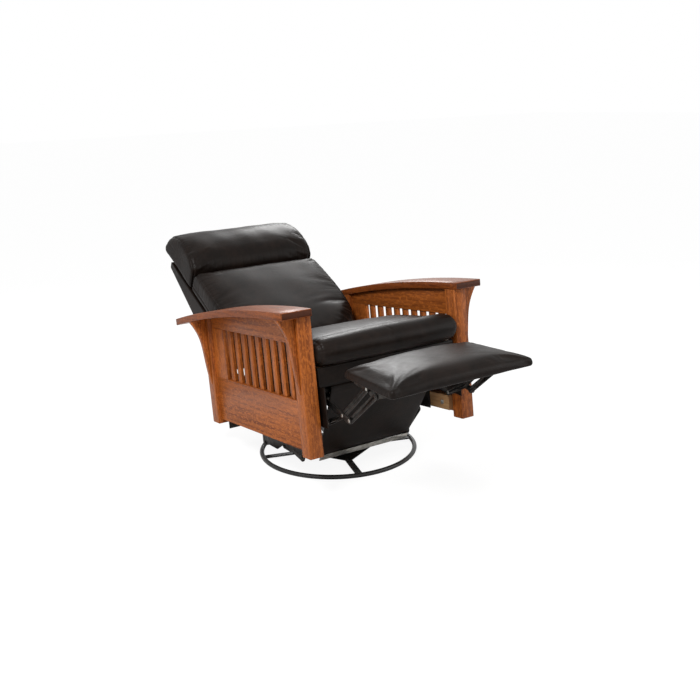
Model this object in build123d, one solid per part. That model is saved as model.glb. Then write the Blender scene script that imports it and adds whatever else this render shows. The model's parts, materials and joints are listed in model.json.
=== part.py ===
"""Swivel glider recliner: oak slatted sides, leather cushions, a gliding steel
mechanism on a round swivel base, shown reclined with its footrest out.

Millimetres, +Z up, -Y to the front, +X to the sitter's left. The origin is on the
swivel axis at floor level. The wooden chair and its linkage are drawn in the chair's
own frame, whose Y runs back from the front legs' front faces and whose Z runs up from
the leg bottoms, and are then tilted back onto the glider by CHAIR.
"""
import os
from math import atan2, cos, degrees, hypot, radians, sin, sqrt, tan

from build123d import *

# Driving dimensions of the whole chair
LEG_OUTER = 353.0          # middle of the chair to the legs' outer faces
LEG_SIZE = 54.0            # square oak leg
FRAME_DEPTH = 769.0        # front face of the front leg to rear face of the rear leg
ARM_CREST = 505.5          # top of the arm at its highest, above the leg bottoms
CHAIR_TILT = 5.9           # degrees the chair leans back in this pose
SWIVEL_DEPTH = 410.0       # swivel axis behind the front legs' front faces
LEG_CLEARANCE = 117.0      # leg bottoms above the ring's middle, on the swivel axis
OVERRUN = 30.0             # how far a cutting solid runs past what it cuts

# Round base
RING_OUTER_D = 610.0
RING_TUBE_D = 17.0
RING_FLAT = 0.5            # depth of the flat that the ring stands on
CROSS_TURN = -17.0         # degrees the base's cross is turned from the chair
CROSS_WIDTH = 25.0
CROSS_THICK = 5.0
PLATE_REACH = 168.0        # centre to corner of the square base plate
PLATE_THICK = 4.0
RACE_D = 150.0
RACE_THICK = 3.0
RACE_LIP = 6.0             # depth of the folded rim of the upper race
RACE_RIM_GAP = 2.0
BALL_D = 7.0
BALL_COUNT = 24
BALL_CIRCLE_D = 118.0
BALL_SINK = 1.0            # depth of the ball track in each race
BALL_PLAY = 0.05
STUD_D = 12.0
STUD_HEAD_D = 22.0
STUD_HEAD = 4.0
STUD_PLAY = 0.1

# Turntable and stands
TABLE_SIZE = 190.0
TABLE_THICK = 4.0
RISER_SIZE = 110.0         # square pedestal between the turntable plate and the channel
RISER_HEIGHT = 20.5
RISER_WALL = 4.0
CHANNEL_WIDTH = 32.0
CHANNEL_FLANGE = 10.0
CHANNEL_HEIGHT = 26.0
CHANNEL_WALL = 3.0
STAND_GAUGE = 4.0
STAND_INNER = 223.0        # middle of the chair to the stand's inner face
STAND_HEAD = 16.0          # round of the stand about its pivots

# Hanging links of the glider
LINK_LENGTH = 140.0
LINK_WIDTH = 26.0
LINK_GAUGE = 4.0
LINK_GAP = 1.0             # side gap between plates that pass each other
GLIDE_FRONT_Y = 277.0      # front lower pivot, in the chair's frame
GLIDE_SPREAD = 288.0       # between the lower pivots
GLIDE_DROP = 71.0          # lower pivots below the leg bottoms
REAR_LINK_LEAN = 8.0       # degrees the rear links lean in this pose
PIN_D = 8.0
PIN_HEAD_D = 15.0
PIN_HEAD = 2.0
PIN_PLAY = 0.1
OPEN_PLAY = 3.2            # radial room at the pivots that are left open

# Oak sides
PANEL_INSET = 16.5         # rails and slats in from the legs' outer faces
RAIL_THICK = 20.0
LOWER_RAIL_Z = 16.5        # lower edge of the bottom rail
LOWER_RAIL_HEIGHT = 172.5
SLAT_HEIGHT = 195.0        # opening between the rails
SLAT_WIDTH = 29.1
SLAT_GAP = 28.5
SLAT_THICK = 11.0
STILE_WIDTH = 18.5         # narrow upright beside the front leg
REAR_STILE_LEAST = 60.0    # the upright beside the rear leg is at least this wide
ARM_WIDTH = 115.0
ARM_INNER = 300.0          # middle of the chair to the arm's inner edge
ARM_THICK = 25.0
ARM_RADIUS = 4450.0        # top of the arm's long bow
ARM_FRONT = 14.0           # arm past the front leg
ARM_BACK = 110.0           # arm past the rear leg
ARM_EASE = 2.5
LEG_EASE = 2.0
CORBEL_REACH = 59.0
CORBEL_LENGTH = 262.0
CORBEL_THICK = 20.0
CORBEL_NOSE = 7.0
CORBEL_WAIST_SHARES = ((0.10, 0.30), (0.45, 0.45))   # of reach and of length
CLEAT_THICK = 32.5
CLEAT_HEIGHT = 56.0
CLEAT_Z = 28.0
CLEAT_FRONT = 2.0          # behind the front leg
CLEAT_BACK = 59.0          # before the rear leg
BOLT_D = 8.0
BOLT_HEAD_D = 16.0
BOLT_HEAD = 5.0
BOLT_COUNT = 3
BOLT_END = 36.0            # first and last bolt in from the cleat's ends

# Steel carriage under the chair
SIDE_RAIL_GAUGE = 4.0
SIDE_RAIL_Z = 20.0
SIDE_RAIL_HEIGHT = 70.0
SIDE_RAIL_INSET = 114.0    # the side rail starts behind the cleat's front end
HANGER_GAUGE = 4.0
HANGER_FRONT_LUG = 20.0
HANGER_REAR_LUG = 14.0
HANGER_EDGE = 6.0          # metal left over the cross tubes
HANGER_TOE = (13.0, -16.0)     # points of the lower edge, back from and above the front pivot
HANGER_ARCH = (128.0, 21.0)
HANGER_HEEL = (188.0, -10.0)
HANGER_TAIL = (251.0, -5.0)
ANGLE_LEG = 56.0           # upright leg of the rear angle
ANGLE_FLANGE = 30.0
ANGLE_GAUGE = 3.0
ANGLE_BACK = 30.0          # rear face of the angle behind the rear legs' front faces
ANGLE_SIDE_GAP = 0.5
POST_GAUGE = 3.5
POST_WIDTH = 40.0
POST_FOOT_Z = 60.0
POST_PLACES = (290.0, 510.0)
TRACK_GAUGE = 8.0
TRACK_HEIGHT = 24.0
TRACK_FRONT = 130.0
TRACK_BACK = 600.0
CROSS_TUBE_D = 24.0
CROSS_TUBE_WALL = 2.0
CROSS_TUBE_Z = 130.0

# Seat
SEAT_SLOPE = 3.0           # degrees the seat box and its tracks fall to the rear
SEAT_BOX_HALF = 286.0
SEAT_BOX_FRONT = 12.0
SEAT_BOX_BACK = 515.0
SEAT_BOX_Z = 232.0         # lower edge of the box at its front
SEAT_BOX_HEIGHT = 68.0
SEAT_BOARD = 22.0
WEB_COUNT = 5
WEB_WIDTH = 50.0
WEB_THICK = 2.0
WEB_DROP = 10.0            # webbing below the box's upper edge
SEAT_FRONT = -36.0         # front of the cushion's roll
SEAT_ROLL_D = 101.0
SEAT_BACK = 518.0
SEAT_CUSHION_HALF = 296.0
SEAT_SEAM_Y = 78.0         # seam between the roll and the seat panel
SEAT_SEAM_DIP = 15.0       # seam below the roll's crest
SEAT_REAR_DROP = 66.0      # rear edge of the seat panel below the roll's crest
SEAT_CROWN = 14.0
SEAT_DRAW = 11.0           # how far the ends draw in from the middle
SOFT_GAP = 0.3

# Front panel below the seat
KICK_SLOPE = 33.4          # degrees from upright, the foot set back
KICK_SIDE_GAP = 13.0       # between the panel and the footrest's brackets
KICK_HALF_FOOT = 195.0
KICK_THICK = 14.0
KICK_FOOT_Z = -66.0
KICK_BAR_WIDTH = 25.0
KICK_BAR_THICK = 4.0

# Back
HINGE_Y = 600.0            # recline hinge, in the chair's frame
HINGE_Z = 270.0
BACK_ANGLE = 34.0          # degrees of the back's face above the level in this pose
BACK_HALF = 286.0
BACK_FACE = 71.0           # front of the back cushion in front of the hinge
BACK_SEAM = 472.0          # headrest seam, up the back from the hinge
BACK_BED = -35.0           # plane that both back cushions lie on
BACK_CORNER = 190.0        # round of the cushion's lower corners
BACK_CROWN = 9.0
BACK_DRAW = 10.0
HEAD_TOP = 757.0
HEAD_BULGE = 112.0         # furthest front of the headrest roll
SHELL_HALF = 283.0
SHELL_FOOT = 15.0
SHELL_TOP = 678.0
SHELL_TOP_DEPTH = 36.0     # shell thickness at its top edge
SHELL_WAIST = 330.0        # where the shell is deepest
SHELL_WAIST_DEPTH = 111.0
SHELL_FOOT_DEPTH = 44.0
SHELL_ROUND = 14.0
POCKET_DEPTH = 28.0
POCKET_HALF = 269.5
POCKET_TOP = 640.0
BACK_STILE = 44.0
BACK_BOARD = 25.5
BACK_RAIL_PLACES = (60.0, 300.0, 590.0)
BACK_RAIL_HEIGHT = 46.0
STRAP_GAUGE = 3.0
STRAP_WIDTH = 24.0
STRAP_DROP = 50.0
STRAP_LENGTH = 210.0

# Footrest linkage: pivots in the chair's frame, (y, z)
SIDE_PLATE_GAUGE = 3.0
SIDE_PLATE_INNER = 262.0
SIDE_PLATE_EDGE = 16.0
REAR_PIVOT = (85.0, 204.0)
CROSS_PIVOT = (-75.0, 147.0)
KNEE_PIVOT = (-115.0, 136.0)
TAIL_PIVOT = (19.0, 108.0)
CONTROL_PIVOT = (181.5, 163.9)
UPPER_PIVOT = (-229.0, 258.0)
LOWER_PIVOT = (-270.0, 239.0)
BAR_GAUGE = 3.0
BAR_GAP = 1.0
BAR_WIDTH = 22.0
RIVET_D = 6.0
RIVET_HEAD_D = 12.0
RIVET_HEAD = 1.8
OPEN_RIVET_PLAY = 2.4
TORQUE_TUBE_D = 22.0
TORQUE_TUBE_WALL = 1.6
PLATE_TOP_GAP = 0.2

# Footrest
FOOT_REAR = (-112.6, 280.2)  # rear lower edge of the board, in the chair's frame
FOOT_SLOPE = 5.1           # degrees the footrest falls to the front of the chair
FOOT_LENGTH = 300.0
FOOT_THICK = 31.0
FOOT_CROWN = 15.0
FOOT_HALF_REAR = 269.0
FOOT_HALF_FRONT = 288.0
FOOT_EDGE = 9.0            # round of the pad's edges
FOOT_BOARD = 12.0
FOOT_BOARD_INSET = 14.0
BRACKET_REAR = 40.0
BRACKET_FRONT = 232.0
BRACKET_LIP = 14.0         # web depth at the bracket's ends
BRACKET_FOOT = 24.0        # width of the flange under the board
BRACKET_ROUND = 12.0

# Places worked out from the sizes above
RING_Z = RING_TUBE_D / 2 - RING_FLAT
RING_R = (RING_OUTER_D - RING_TUBE_D) / 2
CROSS_TOP = RING_Z + CROSS_THICK / 2
PLATE_TOP = CROSS_TOP + PLATE_THICK
LOWER_RACE_TOP = PLATE_TOP + RACE_THICK
UPPER_RACE_Z = LOWER_RACE_TOP + BALL_D - 2 * BALL_SINK
TABLE_Z = UPPER_RACE_Z + RACE_THICK
TABLE_TOP = TABLE_Z + TABLE_THICK
CHANNEL_Z = TABLE_TOP + RISER_HEIGHT
REAR_LEG_Y = FRAME_DEPTH - LEG_SIZE
LEG_INNER = LEG_OUTER - LEG_SIZE
PANEL_OUTER = LEG_OUTER - PANEL_INSET
PANEL_INNER = PANEL_OUTER - RAIL_THICK
RAIL_TOP = LOWER_RAIL_Z + LOWER_RAIL_HEIGHT
OPENING_TOP = RAIL_TOP + SLAT_HEIGHT
CLEAT_INNER = PANEL_INNER - CLEAT_THICK
SIDE_RAIL_INNER = CLEAT_INNER - SIDE_RAIL_GAUGE
LINK_INNER = STAND_INNER + STAND_GAUGE + LINK_GAP
HANGER_INNER = LINK_INNER + LINK_GAUGE + LINK_GAP
POST_INNER = SIDE_RAIL_INNER - POST_GAUGE
TRACK_INNER = POST_INNER - TRACK_GAUGE
REAR_BAR_INNER = SIDE_PLATE_INNER - BAR_GAP - BAR_GAUGE
FRONT_BAR_INNER = REAR_BAR_INNER - BAR_GAP - BAR_GAUGE
LOWER_BAR_INNER = FRONT_BAR_INNER - BAR_GAP - BAR_GAUGE
BRACKET_INNER = LOWER_BAR_INNER - BAR_GAP - BAR_GAUGE
CLEAT_Y = LEG_SIZE + CLEAT_FRONT
CLEAT_LENGTH = REAR_LEG_Y - CLEAT_BACK - CLEAT_Y
SIDE_RAIL_FRONT = CLEAT_Y + SIDE_RAIL_INSET
ANGLE_END = REAR_LEG_Y + ANGLE_BACK
SIDE_RAIL_BACK = ANGLE_END - ANGLE_GAUGE
KICK_HALF_TOP = BRACKET_INNER - KICK_SIDE_GAP
SLAT_PITCH = SLAT_WIDTH + SLAT_GAP
SLAT_START = LEG_SIZE + STILE_WIDTH + SLAT_GAP
SLAT_COUNT = int((REAR_LEG_Y - REAR_STILE_LEAST - SLAT_START) / SLAT_PITCH)
REAR_STILE_Y = SLAT_START + SLAT_COUNT * SLAT_PITCH

CHAIR = Pos(0, 0, RING_Z) * Rot(X=-CHAIR_TILT) * Pos(0, -SWIVEL_DEPTH, LEG_CLEARANCE)
BACK = CHAIR * Pos(0, HINGE_Y, HINGE_Z) * Rot(X=BACK_ANGLE)
FOOT = CHAIR * Pos(0, *FOOT_REAR) * Rot(X=FOOT_SLOPE)
UPWARD = (Align.CENTER, Align.CENTER, Align.MIN)
DOWNWARD = (Align.CENTER, Align.CENTER, Align.MAX)


def on_floor(y, z):
    """A point of the chair's frame as (y, z) above the floor."""
    lean = radians(CHAIR_TILT)
    back, up = y - SWIVEL_DEPTH, z + LEG_CLEARANCE
    return back * cos(lean) + up * sin(lean), up * cos(lean) - back * sin(lean) + RING_Z


def seat_fall(y):
    """How far the seat box has fallen at y, from its front."""
    return (y - SEAT_BOX_FRONT) * tan(radians(SEAT_SLOPE))


def arm_under(y):
    """Height of the arm's underside at y."""
    radius = ARM_RADIUS - ARM_THICK
    return ARM_CREST - ARM_THICK - radius + sqrt(radius**2 - y**2)


def outline(*points):
    """A flat face inside straight edges."""
    return make_face(Polyline(*points, close=True))


def plate(face, near, far):
    """A face drawn in (y, z), carried along X from near to far."""
    return extrude(Plane.YZ.offset(near) * face, amount=far - near)


def bar_face(points, width, holes=()):
    """A bar with round ends through the points, with (place, radius) holes."""
    face = Sketch()
    for (y0, z0), (y1, z1) in zip(points, points[1:]):
        turn = degrees(atan2(z1 - z0, y1 - y0))
        middle = Pos((y0 + y1) / 2, (z0 + z1) / 2)
        face += middle * Rot(Z=turn) * SlotCenterToCenter(hypot(y1 - y0, z1 - z0), width)
    for place, radius in holes:
        face -= Pos(*place) * Circle(radius)
    return face


def across(place, radius, near, far):
    """A round rod along X at the (y, z) place, from near to far."""
    return Pos((near + far) / 2, *place) * Rot(Y=90) * Cylinder(radius, abs(far - near))


def sides(name, shape):
    """The left piece as drawn on +X and its mirror image on the right."""
    return {f"left_{name}": shape, f"right_{name}": mirror(shape, about=Plane.YZ)}


def pair(*shapes):
    """One node that holds each shape and its mirror image as separate solids."""
    solids = [solid for shape in shapes for solid in shape.solids()]
    return Compound(solids + [mirror(solid, about=Plane.YZ) for solid in solids])


def build_base():
    """The ring that stands on the floor, its cross, and the fixed half of the swivel."""
    ring = Pos(0, 0, RING_Z) * Torus(RING_R, RING_TUBE_D / 2)
    ring -= Box(RING_OUTER_D + OVERRUN, RING_OUTER_D + OVERRUN, OVERRUN, align=DOWNWARD)
    bar = Pos(0, 0, RING_Z) * Box(2 * RING_R, CROSS_WIDTH, CROSS_THICK)
    cross = Rot(Z=CROSS_TURN) * (bar + Rot(Z=90) * bar) - ring
    side = PLATE_REACH * sqrt(2)
    square = Rot(Z=CROSS_TURN + 45) * Box(side, side, PLATE_THICK, align=UPWARD)
    stud_low = PLATE_TOP - PLATE_THICK
    base_plate = Pos(0, 0, CROSS_TOP) * square
    race = Pos(0, 0, PLATE_TOP) * Cylinder(RACE_D / 2, RACE_THICK, align=UPWARD)
    groove_z = LOWER_RACE_TOP - BALL_SINK + BALL_D / 2
    groove = Pos(0, 0, groove_z) * Torus(BALL_CIRCLE_D / 2, BALL_D / 2 + BALL_PLAY)
    stud = Cylinder(STUD_D / 2, TABLE_TOP + STUD_PLAY - stud_low, align=UPWARD)
    head = Cylinder(STUD_HEAD_D / 2, STUD_HEAD, align=UPWARD)
    stud = Pos(0, 0, stud_low) * stud + Pos(0, 0, TABLE_TOP + STUD_PLAY) * head
    return {
        "base_ring": ring,
        "base_cross": cross,
        "base_plate": base_plate - stud,
        "swivel_lower_race": race - groove - stud,
        "swivel_stud": stud,
    }


def build_turntable():
    """The turning half of the swivel, and the stands that the chair hangs from."""
    ball_z = UPPER_RACE_Z + BALL_SINK - BALL_D / 2
    balls = [
        PolarLocations(BALL_CIRCLE_D / 2, BALL_COUNT).locations[number] * Sphere(BALL_D / 2 - BALL_PLAY)
        for number in range(BALL_COUNT)
    ]
    balls = Compound([(Pos(0, 0, ball_z) * ball).solid() for ball in balls])
    bore = Cylinder(STUD_D / 2 + STUD_PLAY, 2 * TABLE_TOP)
    rim_inner = RACE_D / 2 + RACE_RIM_GAP
    disc = Cylinder(rim_inner + RACE_THICK, RACE_THICK, align=UPWARD)
    rim = Cylinder(rim_inner + RACE_THICK, RACE_LIP, align=DOWNWARD)
    rim -= Cylinder(rim_inner, RACE_LIP, align=DOWNWARD)
    groove = Pos(0, 0, ball_z) * Torus(BALL_CIRCLE_D / 2, BALL_D / 2 + BALL_PLAY)
    race = Pos(0, 0, UPPER_RACE_Z) * (disc + rim) - groove - bore
    table = Pos(0, 0, TABLE_Z) * Box(TABLE_SIZE, TABLE_SIZE, TABLE_THICK, align=UPWARD)
    hollow = RISER_SIZE - 2 * RISER_WALL
    riser = Box(RISER_SIZE, RISER_SIZE, RISER_HEIGHT, align=UPWARD)
    riser -= Box(hollow, hollow, RISER_HEIGHT - RISER_WALL, align=UPWARD)
    table = table - bore + Pos(0, 0, TABLE_TOP) * riser
    half, wall, top = CHANNEL_WIDTH / 2, CHANNEL_WALL, CHANNEL_Z + CHANNEL_HEIGHT
    brim = half + CHANNEL_FLANGE
    right_half = [
        (0, top), (half, top), (half, CHANNEL_Z + wall), (brim, CHANNEL_Z + wall), (brim, CHANNEL_Z),
        (half - wall, CHANNEL_Z), (half - wall, top - wall), (0, top - wall)]
    left_half = [(-y, z) for y, z in reversed(right_half[1:-1])]
    channel = plate(outline(*right_half, *left_half), -STAND_INNER, STAND_INNER)
    front, rear = glide_pivots()[:2]
    face = outline(
        (-brim, CHANNEL_Z), (brim, CHANNEL_Z), (rear[0] + STAND_HEAD, rear[1]),
        (rear[0], rear[1] + STAND_HEAD), (front[0], front[1] + STAND_HEAD),
        (front[0] - STAND_HEAD, front[1]), (front[0], front[1] - STAND_HEAD))
    face += Pos(*front) * Circle(STAND_HEAD) + Pos(*rear) * Circle(STAND_HEAD)
    for place in (front, rear):
        face -= Pos(*place) * Circle(PIN_D / 2 + PIN_PLAY)
    stand = plate(face, STAND_INNER, STAND_INNER + STAND_GAUGE)
    return {
        "swivel_balls": balls,
        "swivel_upper_race": race,
        "turntable_plate": table,
        "turntable_channel": channel,
        **sides("glide_stand", stand),
    }


def glide_pivots():
    """Upper front, upper rear, lower front and lower rear glider pivots above the floor."""
    low_front = on_floor(GLIDE_FRONT_Y, -GLIDE_DROP)
    low_rear = on_floor(GLIDE_FRONT_Y + GLIDE_SPREAD, -GLIDE_DROP)
    lean = radians(REAR_LINK_LEAN)
    height = low_rear[1] + LINK_LENGTH * cos(lean)
    up_rear = (low_rear[0] - LINK_LENGTH * sin(lean), height)
    rise = height - low_front[1]
    up_front = (low_front[0] - sqrt(LINK_LENGTH**2 - rise**2), height)
    return up_front, up_rear, low_front, low_rear


def build_glide_links():
    """The four links that the carriage hangs from, with their pins."""
    up_front, up_rear, low_front, low_rear = glide_pivots()
    nodes = {}
    for name, top, foot in (("front", up_front, low_front), ("rear", up_rear, low_rear)):
        face = bar_face([top, foot], LINK_WIDTH)
        link = plate(face, LINK_INNER, LINK_INNER + LINK_GAUGE)
        link += across(top, PIN_D / 2, STAND_INNER - PIN_HEAD, LINK_INNER)
        link += across(top, PIN_HEAD_D / 2, STAND_INNER - PIN_HEAD, STAND_INNER)
        hanger_outer = HANGER_INNER + HANGER_GAUGE
        link += across(foot, PIN_D / 2, LINK_INNER + LINK_GAUGE, hanger_outer)
        link += across(foot, PIN_HEAD_D / 2, hanger_outer, hanger_outer + PIN_HEAD)
        nodes[f"{name}_glide_links"] = pair(link)
    return nodes


def build_carriage():
    """The steel frame on the links: side rails, hangers, cross tubes, rear angle and tracks."""
    rail_top = SIDE_RAIL_Z + SIDE_RAIL_HEIGHT
    rail_face = outline(
        (SIDE_RAIL_FRONT, SIDE_RAIL_Z), (SIDE_RAIL_BACK, SIDE_RAIL_Z),
        (SIDE_RAIL_BACK, rail_top), (SIDE_RAIL_FRONT, rail_top))
    rail = plate(rail_face, SIDE_RAIL_INNER, SIDE_RAIL_INNER + SIDE_RAIL_GAUGE)
    front, rear = (GLIDE_FRONT_Y, -GLIDE_DROP), (GLIDE_FRONT_Y + GLIDE_SPREAD, -GLIDE_DROP)
    hanger_top = CROSS_TUBE_Z + CROSS_TUBE_D / 2 + HANGER_EDGE
    lower_edge = [
        (front[0] + back, front[1] + up) for back, up in (HANGER_TOE, HANGER_ARCH, HANGER_HEEL, HANGER_TAIL)]
    hanger_face = outline(
        (front[0] - HANGER_FRONT_LUG, front[1]), *lower_edge, (rear[0], rear[1] - HANGER_REAR_LUG),
        (rear[0] + HANGER_REAR_LUG, rear[1]), (rear[0] + HANGER_REAR_LUG, hanger_top),
        (front[0] - HANGER_FRONT_LUG, hanger_top))
    hanger_face += Pos(*front) * Circle(HANGER_FRONT_LUG) + Pos(*rear) * Circle(HANGER_REAR_LUG)
    for y in POST_PLACES:
        hanger_face -= Pos(y, CROSS_TUBE_Z) * Circle(CROSS_TUBE_D / 2)
    hanger_face -= Pos(*front) * Circle(PIN_D / 2 + PIN_PLAY)
    hanger_face -= Pos(*rear) * Circle(PIN_D / 2 + OPEN_PLAY)
    hanger = plate(hanger_face, HANGER_INNER, HANGER_INNER + HANGER_GAUGE)
    gap = PLATE_TOP_GAP + SIDE_PLATE_GAUGE
    track_top = [(y, SEAT_BOX_Z - seat_fall(y) - gap) for y in (TRACK_FRONT, TRACK_BACK)]
    track_face = outline(*track_top, *[(y, z - TRACK_HEIGHT) for y, z in reversed(track_top)])
    track = plate(track_face, TRACK_INNER, TRACK_INNER + TRACK_GAUGE)
    posts = []
    tubes = []
    for y in POST_PLACES:
        head = SEAT_BOX_Z - seat_fall(y + POST_WIDTH / 2) - gap - SIDE_PLATE_GAUGE
        post_face = outline(
            (y - POST_WIDTH / 2, POST_FOOT_Z), (y + POST_WIDTH / 2, POST_FOOT_Z),
            (y + POST_WIDTH / 2, head), (y - POST_WIDTH / 2, head))
        posts.append(plate(post_face, POST_INNER, POST_INNER + POST_GAUGE))
        place = (y, CROSS_TUBE_Z)
        tube = across(place, CROSS_TUBE_D / 2, -POST_INNER, POST_INNER)
        tubes.append(tube - across(place, CROSS_TUBE_D / 2 - CROSS_TUBE_WALL, -POST_INNER, POST_INNER))
    angle_low, angle_front = SIDE_RAIL_Z - ANGLE_LEG, ANGLE_END - ANGLE_FLANGE
    angle_face = outline(
        (ANGLE_END, angle_low), (ANGLE_END, SIDE_RAIL_Z), (angle_front, SIDE_RAIL_Z),
        (angle_front, SIDE_RAIL_Z - ANGLE_GAUGE), (SIDE_RAIL_BACK, SIDE_RAIL_Z - ANGLE_GAUGE),
        (SIDE_RAIL_BACK, angle_low))
    angle_half = LEG_INNER - ANGLE_SIDE_GAP
    angle = plate(angle_face, -angle_half, angle_half)
    tracks = pair(track, *posts)
    nodes = {
        **sides("side_rail", rail),
        **sides("glide_hanger", hanger),
        "carriage_cross_tubes": Compound([tube.solid() for tube in tubes] + [angle.solid()]),
        "seat_tracks": tracks,
    }
    return {name: CHAIR * shape for name, shape in nodes.items()}


def below_arm(inner, outer):
    """Everything under the arm's bow, between two distances from the chair's middle."""
    start, end = -ARM_FRONT - OVERRUN, FRAME_DEPTH + ARM_BACK
    middle = (start + end) / 2
    bow = ThreePointArc((start, arm_under(start)), (middle, arm_under(middle)), (end, arm_under(end)))
    walls = Polyline((end, arm_under(end)), (end, -OVERRUN), (start, -OVERRUN), (start, arm_under(start)))
    return plate(make_face(bow + walls), inner, outer)


def build_oak_sides():
    """Legs, rails, stiles, slats, corbels and arms of the two sides, and the cleats inside them."""
    nodes = {}
    tall = ARM_CREST
    space = below_arm(LEG_INNER, LEG_OUTER + CORBEL_REACH)
    for name, y in (("front", 0), ("rear", REAR_LEG_Y)):
        leg = Box(LEG_SIZE, LEG_SIZE, tall, align=UPWARD)
        leg = Pos(LEG_INNER + LEG_SIZE / 2, y + LEG_SIZE / 2, 0) * leg
        leg = chamfer(leg.edges().filter_by(Axis.Z) + leg.faces().sort_by(Axis.Z)[0].edges(), LEG_EASE)
        nodes.update(sides(f"{name}_leg", leg & space))

    def board(start, end, low, high, thick):
        middle = Pos(PANEL_INNER + RAIL_THICK / 2, (start + end) / 2, low)
        return middle * Box(thick, end - start, high - low, align=UPWARD)

    low_rail = board(LEG_SIZE, REAR_LEG_Y, LOWER_RAIL_Z, RAIL_TOP, RAIL_THICK)
    top_rail = board(LEG_SIZE, REAR_LEG_Y, OPENING_TOP, tall, RAIL_THICK)
    front_stile = board(LEG_SIZE, LEG_SIZE + STILE_WIDTH, RAIL_TOP, OPENING_TOP, RAIL_THICK)
    rear_stile = board(REAR_STILE_Y, REAR_LEG_Y, RAIL_TOP, OPENING_TOP, RAIL_THICK)
    slats = []
    for number in range(SLAT_COUNT):
        start = SLAT_START + SLAT_PITCH * number
        slats.append(board(start, start + SLAT_WIDTH, RAIL_TOP, OPENING_TOP, SLAT_THICK))
    nodes["side_stiles"] = pair(front_stile, rear_stile)
    start, end = -ARM_FRONT, FRAME_DEPTH + ARM_BACK
    half = (start + end) / 2

    def arm_top(y):
        return ARM_CREST - ARM_RADIUS + sqrt(ARM_RADIUS**2 - y**2)

    crown = ThreePointArc((start, arm_top(start)), (half, arm_top(half)), (end, arm_top(end)))
    under = ThreePointArc((end, arm_under(end)), (half, arm_under(half)), (start, arm_under(start)))
    rear_end = Line((end, arm_top(end)), (end, arm_under(end)))
    front_end = Line((start, arm_under(start)), (start, arm_top(start)))
    arm = plate(make_face(crown + under + rear_end + front_end), ARM_INNER, ARM_INNER + ARM_WIDTH)
    arm = chamfer(arm.faces().sort_by(Axis.Z)[-1].edges(), ARM_EASE)
    nodes.update(sides("bottom_rail", low_rail))
    nodes.update(sides("top_rail", top_rail & space))
    nodes.update(sides("slats", Compound([slat.solid() for slat in slats])))
    nodes.update(sides("arm", arm))
    for name, y in (("front", LEG_SIZE / 2), ("rear", REAR_LEG_Y + LEG_SIZE / 2)):
        nodes[f"{name}_corbels"] = pair(corbel(y) & space)
    cleat_box = Box(CLEAT_THICK, CLEAT_LENGTH, CLEAT_HEIGHT, align=UPWARD)
    cleat = Pos(CLEAT_INNER + CLEAT_THICK / 2, CLEAT_Y + CLEAT_LENGTH / 2, CLEAT_Z) * cleat_box
    nodes.update(sides("cleat", cleat))
    return {name: CHAIR * shape for name, shape in nodes.items()}


def corbel(y):
    """A bracket under the arm, bowed in towards the foot of its outer edge."""
    top = arm_under(y) + ARM_THICK / 2
    nose = arm_under(y) - CORBEL_NOSE
    foot = arm_under(y) - CORBEL_LENGTH
    (reach_high, drop_high), (reach_low, drop_low) = CORBEL_WAIST_SHARES
    bow = Bezier(
        (LEG_OUTER + CORBEL_REACH, nose),
        (LEG_OUTER + CORBEL_REACH * reach_high, nose - CORBEL_LENGTH * drop_high),
        (LEG_OUTER + CORBEL_REACH * reach_low, nose - CORBEL_LENGTH * drop_low),
        (LEG_OUTER, foot))
    outer = LEG_OUTER + CORBEL_REACH
    face = make_face(bow + Polyline((LEG_OUTER, foot), (LEG_OUTER, top), (outer, top), (outer, nose)))
    return extrude(Plane.XZ.offset(-y) * face, amount=CORBEL_THICK / 2, both=True)


def seat_section(x, inset):
    """Side profile of the seat cushion at x, its front roll and panel drawn in by inset."""
    roll = SEAT_ROLL_D / 2
    bottom = SEAT_BOX_Z + SEAT_BOX_HEIGHT + SOFT_GAP
    crest = bottom + SEAT_ROLL_D
    centre_y, centre_z = SEAT_FRONT + roll, bottom + roll
    reach = roll - inset
    diagonal = reach * sqrt(0.5)
    top = (centre_y, centre_z + reach)
    front = (centre_y - reach, centre_z)
    under = (centre_y, bottom)
    seam = (SEAT_SEAM_Y, crest - SEAT_SEAM_DIP - inset)
    rear_top = (SEAT_BACK - inset - roll / 2, crest - SEAT_REAR_DROP - inset)
    rear = (SEAT_BACK - inset, (rear_top[1] + bottom - seat_fall(SEAT_BACK)) / 2)
    rear_foot = (SEAT_BACK - inset - roll / 4, bottom - seat_fall(SEAT_BACK - inset - roll / 4))
    back_roll = ((top[0] + seam[0]) / 2, (top[1] + seam[1]) / 2 + SEAT_CROWN / 4)
    panel = ((seam[0] + rear_top[0]) / 2, (seam[1] + rear_top[1]) / 2 + SEAT_CROWN)
    rear_bulge = ((rear_top[0] + rear[0]) / 2 + roll / 8, (rear_top[1] + rear[1]) / 2 + roll / 8)
    edges = [
        ThreePointArc(top, (centre_y - diagonal, centre_z + diagonal), front),
        ThreePointArc(front, (centre_y - diagonal, centre_z - (centre_z - bottom) * sqrt(0.5)), under),
        Line(under, rear_foot),
        Line(rear_foot, rear),
        ThreePointArc(rear, rear_bulge, rear_top),
        ThreePointArc(rear_top, panel, seam),
        ThreePointArc(seam, back_roll, top),
    ]
    return Plane.YZ.offset(x) * make_face(edges)


# Each profile's distance from the middle as a share of the half width, and its draw-in
STATION_SHARES = ((1.0, 1.0), (0.97, 0.52), (0.91, 0.24), (0.8, 0.1), (0.6, 0.03), (0.3, 0.0))


def cushion(section, half, draw):
    """A cushion lofted through profiles across its width, drawn in towards its ends."""
    stations = [(-place, share) for place, share in STATION_SHARES]
    stations += [(place, share) for place, share in reversed(STATION_SHARES)]
    return loft([section(half * place, draw * share) for place, share in stations])


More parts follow.
